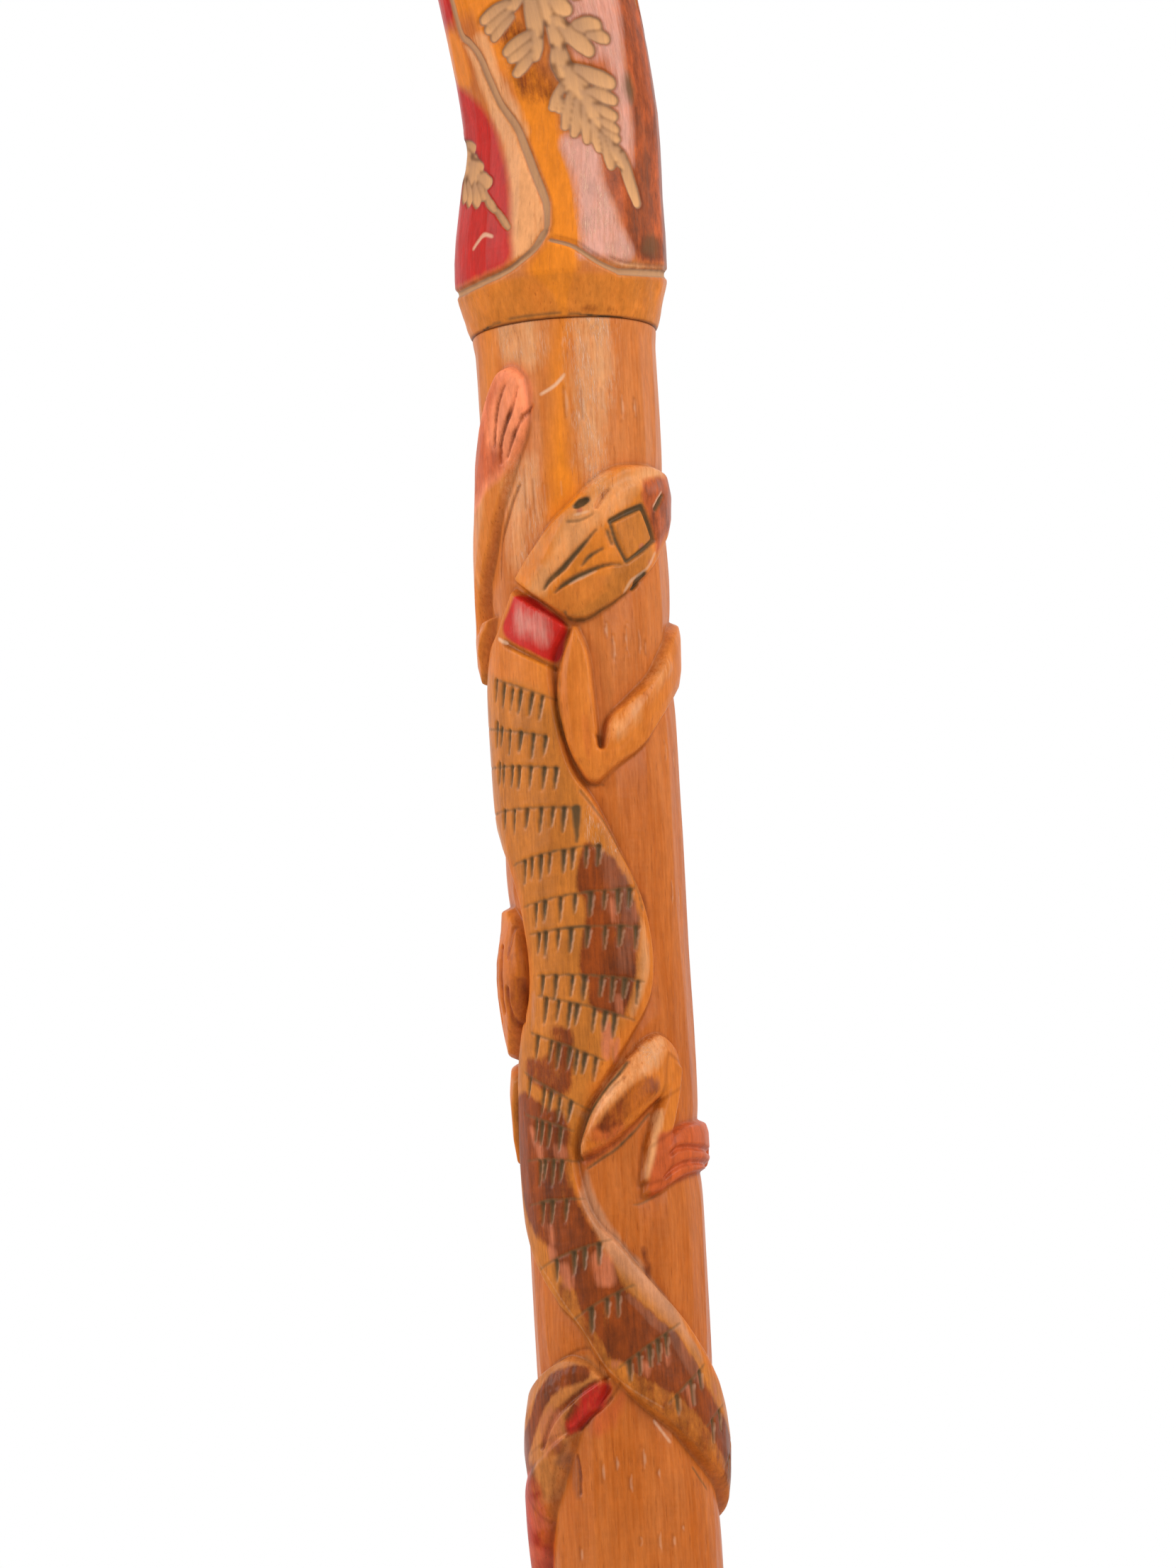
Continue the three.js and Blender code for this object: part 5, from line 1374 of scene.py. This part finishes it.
def dye_group(name):
    """Dye brushed over wood: its mask is broken up along the grain, and the wood shows through where it is
    thin."""
    tree, given, out = new_group(
        name, {"Color": (1, 1, 1, 1), "Dye": (1, 0, 0, 1), "Mask": 0.0, "Streak": 0.5, "Blotch": 0.5,
               "Ragged": 0.5, "Cover": 0.9, "Mottle": 1.0}, ("Color",))
    uneven = tree.minus(tree.plus(given["Streak"], given["Blotch"]), 1.0)
    ragged = tree.times(tree.times(uneven, given["Ragged"]), 2.0)
    raw = tree.plus(given["Mask"], tree.times(ragged, tree.band(given["Mask"], 0.0, 0.3)))
    cover = tree.times(tree.band(raw, 0.12, 0.75), given["Cover"])
    depth = tree.band(tree.minus(given["Streak"], given["Blotch"]), -0.2, 0.2, -0.43, 0.4)
    dye = tree.shade(given["Dye"], tree.plus(tree.times(depth, given["Mottle"]), 1.0))
    tree.set(out, {"Color": tree.mix(cover, given["Color"], dye)})


def tool_group(name):
    """Fine knife chatter: low ripples across the grain, for the bump of carved wood."""
    tree, given, out = new_group(name, {"Vector": None, "Amount": 1.0}, ("Height",))
    broad = tree.noise(given["Vector"], 420.0, stretch=(1, 1, 0.5))
    ripple = tree.noise(given["Vector"], 900.0, 1.0, stretch=(0.35, 0.35, 1.2))
    total = tree.plus(tree.times(broad, 0.8), tree.times(ripple, 0.35))
    tree.set(out, {"Height": tree.times(total, given["Amount"])})


def fibres_and_sheen_group(name):
    """Raised fibres and painted sheen: short pale strands along the grain where the wood was left rough under
    the varnish, laid where highlights fall so that they also paint their sheen.
    """
    tree, given, out = new_group(
        name, {"Color": (1, 1, 1, 1), "Fibre And Sheen": (0.9, 0.7, 0.5, 1), "Vector": None, "Mask": 0.0,
               "Scale": 8000.0}, ("Color", "Height"))
    sheen_threads = tree.noise(given["Vector"], given["Scale"], stretch=(1, 1, 0.1))
    clumps = tree.band(tree.noise(given["Vector"], 650.0, stretch=(1, 1, 0.3)), 0.35, 0.6)
    shown = tree.times(tree.band(sheen_threads, 0.5, 0.68), tree.times(clumps, given["Mask"]))
    tree.set(out, {"Color": tree.mix(shown, given["Color"], given["Fibre And Sheen"]), "Height": shown})


GROUPS = {"Wood Grain": grain_group, "Brushed Dye": dye_group, "Knife Chatter": tool_group,
          "Pale Fibres And Sheen": fibres_and_sheen_group}


def new_material(name):
    """A material with a Principled shader on its output."""
    material = bpy.data.materials.new(name)
    material.use_nodes = True
    material.node_tree.nodes.clear()
    tree = Tree(material.node_tree)
    shader = tree.add("ShaderNodeBsdfPrincipled")
    tree.add("ShaderNodeOutputMaterial", {0: shader.outputs[0]})
    return material, tree, shader


def carved_wood(colors):
    """Varnished wood with its dyes: grain, then each dye in its mask, then pale fibres and painted sheen,
    cuts, ink, dark creases and painted shade along grooves, and pale scratches and painted highlights."""
    material, tree, shader = new_material("varnished_carved_wood")
    place = tree.add("ShaderNodeAttribute", attribute_name="grain").outputs["Vector"]
    masks = {name: tree.add("ShaderNodeAttribute", attribute_name=name).outputs["Fac"] for name in MARKS}
    blotch = tree.noise(place, 320.0, 7.0, 0.72, (1, 1, 0.45))
    along = tree.add("ShaderNodeSeparateXYZ", {0: place}).outputs[2]
    tone = tree.band(tree.plus(along, tree.times(blotch, 0.03)), 0.02, 0.095)
    wood = tree.group("Wood Grain", {
        "Vector": place, "Light": tree.mix(tone, colors["wood_top"], colors["wood_light"]),
        "Deep": tree.mix(tone, colors["wood_light"], colors["wood_deep"])})
    streak, color = wood["Streak"], wood["Color"]
    for name, ragged, cover, mottle in DYES:
        color = tree.group("Brushed Dye", {
            "Color": color, "Dye": colors[name], "Mask": masks[name], "Streak": streak, "Blotch": blotch,
            "Ragged": ragged, "Cover": cover, "Mottle": mottle})["Color"]
    patina = tree.noise(place, 1500.0, 5.0, 0.65, (1, 1, 0.3))
    patina = tree.times(tree.band(patina, 0.3, 0.7, 0.88, 1.1), tree.band(blotch, 0.3, 0.7, 1.08, 0.93))
    color = tree.shade(color, patina)
    hair = tree.times(wood["Pores"], tree.band(blotch, 0.35, 0.6, 0.6, 0.15))
    color = tree.mix(hair, color, tree.tint(color, (0.5, 0.4, 0.35, 1)))
    # pale fibres, laid where highlights fall: painted sheen as well as raised grain
    sheen_threads = tree.group("Pale Fibres And Sheen", {
        "Color": color, "Fibre And Sheen": colors["fibres_and_sheen"], "Vector": place, "Mask": masks["fibres_and_sheen"]})
    leaf = tree.band(masks["leaf"], 0.35, 0.65)
    light = tree.times(tree.band(masks["leaf"], 0.7, 1.0, 0.1, 1.0), tree.band(streak, 0.35, 0.65, 0.6, 1.2))
    color = tree.mix(leaf, sheen_threads["Color"], tree.mix(light, colors["cut_shade"], colors["cut_wood"]))
    ink = tree.times(tree.band(masks["olive"], 0.08, 0.7), tree.band(blotch, 0.25, 0.55, 0.75, 1.0))
    inks = tree.mix(tree.band(masks["olive"], 0.3, 0.9), colors["faded_ink"], colors["olive"])
    color = tree.mix(ink, color, inks)
    # seam tint: dark joints and creases, and painted shade along one side of grooves and gouge marks
    color = tree.mix(tree.times(masks["seam"], 0.85), color, tree.tint(color, colors["seam"]))
    # pale marks: bruised varnish in gouges, and painted highlights along lit edges of cuts and notches
    color = tree.mix(tree.times(tree.band(masks["pale"], 0.1, 0.7), 0.75), color, colors["pale"])
    rough = tree.plus(tree.band(streak, 0.3, 0.7, 0.46, 0.34), tree.times(leaf, 0.2))
    chatter = tree.group("Knife Chatter", {"Vector": place, "Amount": 1.3})
    fine = tree.plus(tree.times(wood["Height"], 0.45), sheen_threads["Height"])
    tree.set(shader, {
        "Base Color": color, "Roughness": tree.plus(rough, tree.times(ink, 0.15), clamp=True),
        "Coat Weight": tree.times(tree.minus(1.0, leaf), tree.band(blotch, 0.3, 0.7, 0.03, 0.15)),
        "Coat Roughness": 0.2, "Specular IOR Level": 0.08,
        "Normal": tree.bump(0.6, 0.0002, tree.plus(fine, chatter["Height"]))})
    return material


def bare_wood(colors):
    """Turned dowel: bare grain with no varnish."""
    material, tree, shader = new_material("bare_dowel_wood")
    place = tree.add("ShaderNodeTexCoord").outputs["Object"]
    wood = tree.group("Wood Grain", {
        "Vector": place, "Light": colors["cut_wood"], "Deep": colors["cut_shade"]})
    tree.set(shader, {"Base Color": wood["Color"], "Roughness": 0.72,
                      "Normal": tree.bump(0.4, 0.0002, wood["Height"])})
    return material


def tip_rubber(colors):
    """Moulded rubber: nearly black, greyer and rougher where dust and scuffs gather near the ground."""
    material, tree, shader = new_material("tip_rubber")
    place = tree.add("ShaderNodeTexCoord").outputs["Object"]
    low = tree.band(tree.add("ShaderNodeSeparateXYZ", {0: place}).outputs[2], 0.0, 0.014, 1.0, 0.0)
    scuffs = tree.band(tree.noise(place, 260.0, 6.0, 0.7, (1, 1, 1.6)), 0.46, 0.68)
    dust = tree.times(scuffs, tree.plus(tree.times(low, 0.6), 0.14))
    tree.set(shader, {"Base Color": tree.mix(dust, colors["rubber"], colors["dust"]),
                      "Roughness": tree.band(dust, 0.0, 0.6, 0.52, 0.85),
                      "Normal": tree.bump(0.35, 0.00015, tree.noise(place, 2600.0, 3.0, 0.6))})
    return material


def washer_steel(colors):
    """Zinc-plated steel: fine turned rings and a mottled grey."""
    material, tree, shader = new_material("washer_steel")
    place = tree.add("ShaderNodeTexCoord").outputs["Object"]
    mottle = tree.band(tree.noise(place, 500.0, 4.0, 0.6), 0.3, 0.7)
    wave = tree.add("ShaderNodeTexWave", {"Vector": place, "Scale": 900.0, "Distortion": 0.5},
                    wave_type="RINGS", rings_direction="Z")
    tree.set(shader, {"Base Color": tree.mix(mottle, colors["steel_shade"], colors["steel"]), "Metallic": 1.0,
                      "Roughness": tree.band(mottle, 0.0, 1.0, 0.3, 0.46),
                      "Normal": tree.bump(0.15, 0.00005, wave.outputs["Fac"])})
    return material


# Stage in metres, and settings that a user would change
FLOOR_REACH = 6.0
BOX_LOW = 0.98
BOX_HIGH = 2.0
BOX_DISTANCE = 1.35
CAMERA_SIDE = -0.34 * MM
CAMERA_DROP = 0.318
AIM_DROP = 0.0647

def color_property(label, words, value):
    return bpy.props.FloatVectorProperty(
        name=label, description=words, subtype="COLOR", size=3, min=0.0, max=1.0, default=value)


class STICK_PG_dyes(bpy.types.PropertyGroup):
    wood_top: color_property("Wood, top", "Varnished wood just under the handle", (0.63, 0.205, 0.055))
    wood_light: color_property("Wood, light", "Light grain of the shaft", (0.545, 0.15, 0.028))
    wood_deep: color_property("Wood, deep", "Deep grain of the shaft", (0.44, 0.10, 0.010))
    amber: color_property("Amber dye", "Clear orange stain", (0.78, 0.22, 0.013))
    coral: color_property("Coral dye", "Pink orange of the left hand", (0.86, 0.26, 0.115))
    # Cream is undyed wood, and it also paints highlights on the lizard's crests and on facets under the joint
    cream: color_property("Cream wood", "Wood that took no dye", (0.78, 0.36, 0.15))
    tan: color_property("Tan wood", "Pared margins of the tail", (0.53, 0.225, 0.105))
    ochre: color_property("Ochre dye", "Ground of the lizard's back", (0.47, 0.15, 0.022))
    russet: color_property("Russet dye", "Red-brown of the handle's right side", (0.47, 0.088, 0.022))
    umber: color_property("Umber dye", "Dark red-brown of the tail", (0.20, 0.036, 0.005))
    plum: color_property("Plum dye", "Faded dark purple", (0.26, 0.08, 0.036))
    salmon: color_property("Salmon dye", "Pink patches on the tail", (0.52, 0.15, 0.065))
    violet: color_property("Violet dye", "Faded pink purple of the handle", (0.72, 0.36, 0.28))
    vermilion: color_property("Vermilion dye", "Orange-red of hands and feet", (0.50, 0.085, 0.02))
    scarlet: color_property("Scarlet dye", "Red of the panels and the neck patch", (0.50, 0.013, 0.011))
    olive: color_property("Ink", "Dark ink in the notches", (0.085, 0.045, 0.016))
    faded_ink: color_property("Faded ink", "Ink where it is thin", (0.17, 0.085, 0.03))
    # The seam tint darkens joints and creases, and paints shade along one side of hems, ridge lines and gouge
    # marks
    seam: color_property("Dirt", "Tint of creases and seams", (0.2, 0.13, 0.1))
    # Pale marks are bruised varnish in gouge marks, and also painted highlights along lit edges of cuts and
    # notches
    pale: color_property("Scratches", "Pale bruised varnish", (0.80, 0.50, 0.32))
    # Pale fibres also paint the sheen of highlights under the joint, on the handle's front and on the lizard
    fibres_and_sheen: color_property("Fibres", "Pale raised fibres", (0.80, 0.46, 0.30))
    cut_wood: color_property("Cut wood, light", "Bare wood in the leaf cuts", (0.71, 0.36, 0.155))
    cut_shade: color_property("Cut wood, dark", "Dark grain of bare wood", (0.40, 0.215, 0.12))
    rubber: color_property("Rubber", "Tip rubber", (0.018, 0.017, 0.016))
    dust: color_property("Dust", "Dust on the rubber", (0.16, 0.145, 0.13))
    steel: color_property("Steel", "Washer plating", (0.52, 0.53, 0.54))
    steel_shade: color_property("Steel, dull", "Dull patches of the plating", (0.36, 0.37, 0.38))


class STICK_PG_stage(bpy.types.PropertyGroup):
    left_power: bpy.props.FloatProperty(
        name="Left box", description="Power of the left soft box", unit="POWER", default=18.0)
    right_power: bpy.props.FloatProperty(
        name="Right box", description="Power of the right soft box", unit="POWER", default=17.0)
    ambient: bpy.props.FloatProperty(
        name="Ambient", description="Strength of the studio's even light", default=0.52)
    camera_distance: bpy.props.FloatProperty(
        name="Distance", description="Camera to stick", unit="LENGTH", default=1.636)
    lens: bpy.props.FloatProperty(name="Lens", description="Focal length", unit="CAMERA", default=269.0)
    roll: bpy.props.FloatProperty(
        name="Roll", description="Camera roll that tilts the stick", subtype="ANGLE",
        default=math.radians(-3.35))


def dye_colors():
    dyes = bpy.context.scene.stick_dyes
    return {name: (*getattr(dyes, name), 1.0) for name in STICK_PG_dyes.__annotations__}


def shared_wood():
    return bpy.data.materials.get("varnished_carved_wood") or carved_wood(dye_colors())


class STICK_OT_shaft(bpy.types.Operator):
    """Carve the shaft: lizard, snake, knife facets and gouge marks, in lengths that meet without a seam"""
    bl_idname = "stick.shaft"
    bl_label = "Carved Shaft"

    def execute(self, context):
        roll_shaft()
        return {"FINISHED"}


class STICK_OT_handle(bpy.types.Operator):
    """Carve the handle: collar, neck and crook, with three dyed panels and leaf sprays"""
    bl_idname = "stick.handle"
    bl_label = "Crook Handle"

    def execute(self, context):
        roll_handle()
        return {"FINISHED"}


class STICK_OT_tip(bpy.types.Operator):
    """Mould the rubber tip with its ribs and tread, and finish the steel washer inside it"""
    bl_idname = "stick.tip"
    bl_label = "Rubber Tip"

    def execute(self, context):
        colors = dye_colors()
        rubber = turned("rubber_tip_moulded", tip_profile(), 192, tread)
        make_piece(rubber, "tip", "rubber_tip", tip_rubber(colors))
        low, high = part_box("tip_washer")
        radius, bottom, top = high.x / MM, low.z / MM, high.z / MM
        disc = turned("washer_disc", soft_corners(
            [(0.05, bottom), (radius, bottom), (radius, top), (0.05, top)], 0.3), 96)
        make_piece(disc, "tip", "tip_washer", washer_steel(colors))
        return {"FINISHED"}


class STICK_OT_dowel(bpy.types.Operator):
    """Finish the hidden dowel in bare wood"""
    bl_idname = "stick.dowel"
    bl_label = "Joint Dowel"

    def execute(self, context):
        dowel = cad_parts["joint_dowel"]
        dowel.data.materials.clear()
        dowel.data.materials.append(bare_wood(dye_colors()))
        return {"FINISHED"}


def camera_matrix(place, aim, roll):
    """Camera axes: forward to the aim, right turned about it by the roll, up square to both."""
    forward = (aim - place).normalized()
    right = forward.cross(Vector((0, 0, 1))).normalized()
    up = right.cross(forward)
    right = right * math.cos(roll) + up * math.sin(roll)
    up = right.cross(forward)
    matrix = Matrix((right, up, -forward)).transposed().to_4x4()
    matrix.translation = place
    return matrix


def soft_box(name, azimuth, width, power, aim):
    """Area lamp on an azimuth round the stick, as wide as given, that faces the aim."""
    lamp = bpy.data.lights.new(name, "AREA")
    lamp.shape = "RECTANGLE"
    lamp.size, lamp.size_y = width, BOX_HIGH - BOX_LOW
    lamp.energy = power
    thing = bpy.data.objects.new(name, lamp)
    turn = math.radians(azimuth)
    height = (BOX_LOW + BOX_HIGH) / 2
    thing.location = (BOX_DISTANCE * math.sin(turn), -BOX_DISTANCE * math.cos(turn), height)
    thing.rotation_euler = (aim - thing.location).to_track_quat("-Z", "Y").to_euler()
    bpy.context.scene.collection.objects.link(thing)


def white_world(strength):
    """Even studio light, and plain white where the camera, a reflection or a refraction sees the
    background."""
    world = bpy.data.worlds.new("studio")
    world.use_nodes = True
    world.node_tree.nodes.clear()
    tree = Tree(world.node_tree)
    path = tree.add("ShaderNodeLightPath").outputs
    bounced = tree.maths("MAXIMUM", path["Is Glossy Ray"], path["Is Transmission Ray"])
    seen = tree.maths("MAXIMUM", path["Is Camera Ray"], bounced)
    dim = tree.add("ShaderNodeBackground", {"Color": (1.0, 0.98, 0.95, 1), "Strength": strength})
    white = tree.add("ShaderNodeBackground", {"Color": (1, 1, 1, 1), "Strength": 1.0})
    both = tree.add("ShaderNodeMixShader", {0: seen, 1: dim.outputs[0], 2: white.outputs[0]})
    tree.add("ShaderNodeOutputWorld", {0: both.outputs[0]})
    bpy.context.scene.world = world


def pale_floor():
    """Pale floor that keeps the stick's shadow, and is close to white where the camera sees it."""
    mesh = bpy.data.meshes.new("floor")
    corners = [(x * FLOOR_REACH, y * FLOOR_REACH, 0) for x, y in ((-1, -1), (1, -1), (1, 1), (-1, 1))]
    mesh.from_pydata(corners, [], [(0, 1, 2, 3)])
    floor = bpy.data.objects.new("floor", mesh)
    bpy.context.scene.collection.objects.link(floor)
    material, tree, shader = new_material("pale_floor")
    place = tree.add("ShaderNodeTexCoord").outputs["Object"]
    tone = tree.noise(place, 3.0, 3.0)
    tree.set(shader, {"Base Color": tree.mix(tone, (0.80, 0.80, 0.79, 1), (0.86, 0.86, 0.85, 1)),
                      "Roughness": 0.8})
    mesh.materials.append(material)


class STICK_OT_stage(bpy.types.Operator):
    """Set the camera, the two soft boxes, the white studio and the floor"""
    bl_idname = "stick.stage"
    bl_label = "Studio"

    def execute(self, context):
        scene = context.scene
        stage = scene.stick_stage
        scene.view_settings.view_transform = "Standard"
        camera = bpy.data.cameras.new("camera")
        camera.lens = stage.lens
        camera.sensor_width = 36.0
        camera.clip_end = 20.0
        thing = bpy.data.objects.new("camera", camera)
        scene.collection.objects.link(thing)
        joint = JOINT * MM
        place = Vector((CAMERA_SIDE, -stage.camera_distance, joint - CAMERA_DROP))
        aim = Vector((CAMERA_SIDE, 0.0, joint - AIM_DROP))
        thing.matrix_world = camera_matrix(place, aim, stage.roll)
        scene.camera = thing
        middle = Vector((0, 0, joint - 0.05))
        soft_box("left_box", -76.0, 1.25, stage.left_power, middle)
        soft_box("right_box", 53.0, 1.1, stage.right_power, middle)
        white_world(stage.ambient)
        pale_floor()
        return {"FINISHED"}


class STICK_PT_panel(bpy.types.Panel):
    """Sidebar panel with the stick's pieces and finishes"""
    bl_idname = "STICK_PT_panel"
    bl_label = "Carved Stick"
    bl_space_type = "VIEW_3D"
    bl_region_type = "UI"
    bl_category = "Stick"

    def draw(self, context):
        for operator in OPERATORS:
            self.layout.operator(operator.bl_idname)
        for settings in (context.scene.stick_dyes, context.scene.stick_stage):
            column = self.layout.column()
            for name in settings.__annotations__:
                column.prop(settings, name)


OPERATORS = (STICK_OT_stage, STICK_OT_shaft, STICK_OT_handle, STICK_OT_tip, STICK_OT_dowel)
CLASSES = (STICK_PG_dyes, STICK_PG_stage) + OPERATORS + (STICK_PT_panel,)


def register():
    for each in CLASSES:
        bpy.utils.register_class(each)
    bpy.types.Scene.stick_dyes = bpy.props.PointerProperty(type=STICK_PG_dyes)
    bpy.types.Scene.stick_stage = bpy.props.PointerProperty(type=STICK_PG_stage)


def unregister():
    del bpy.types.Scene.stick_dyes
    del bpy.types.Scene.stick_stage
    for each in reversed(CLASSES):
        bpy.utils.unregister_class(each)


def main():
    register()
    bpy.ops.stick.stage()
    bpy.ops.stick.shaft()
    bpy.ops.stick.handle()
    bpy.ops.stick.tip()
    bpy.ops.stick.dowel()


if __name__ == "__main__":
    main()
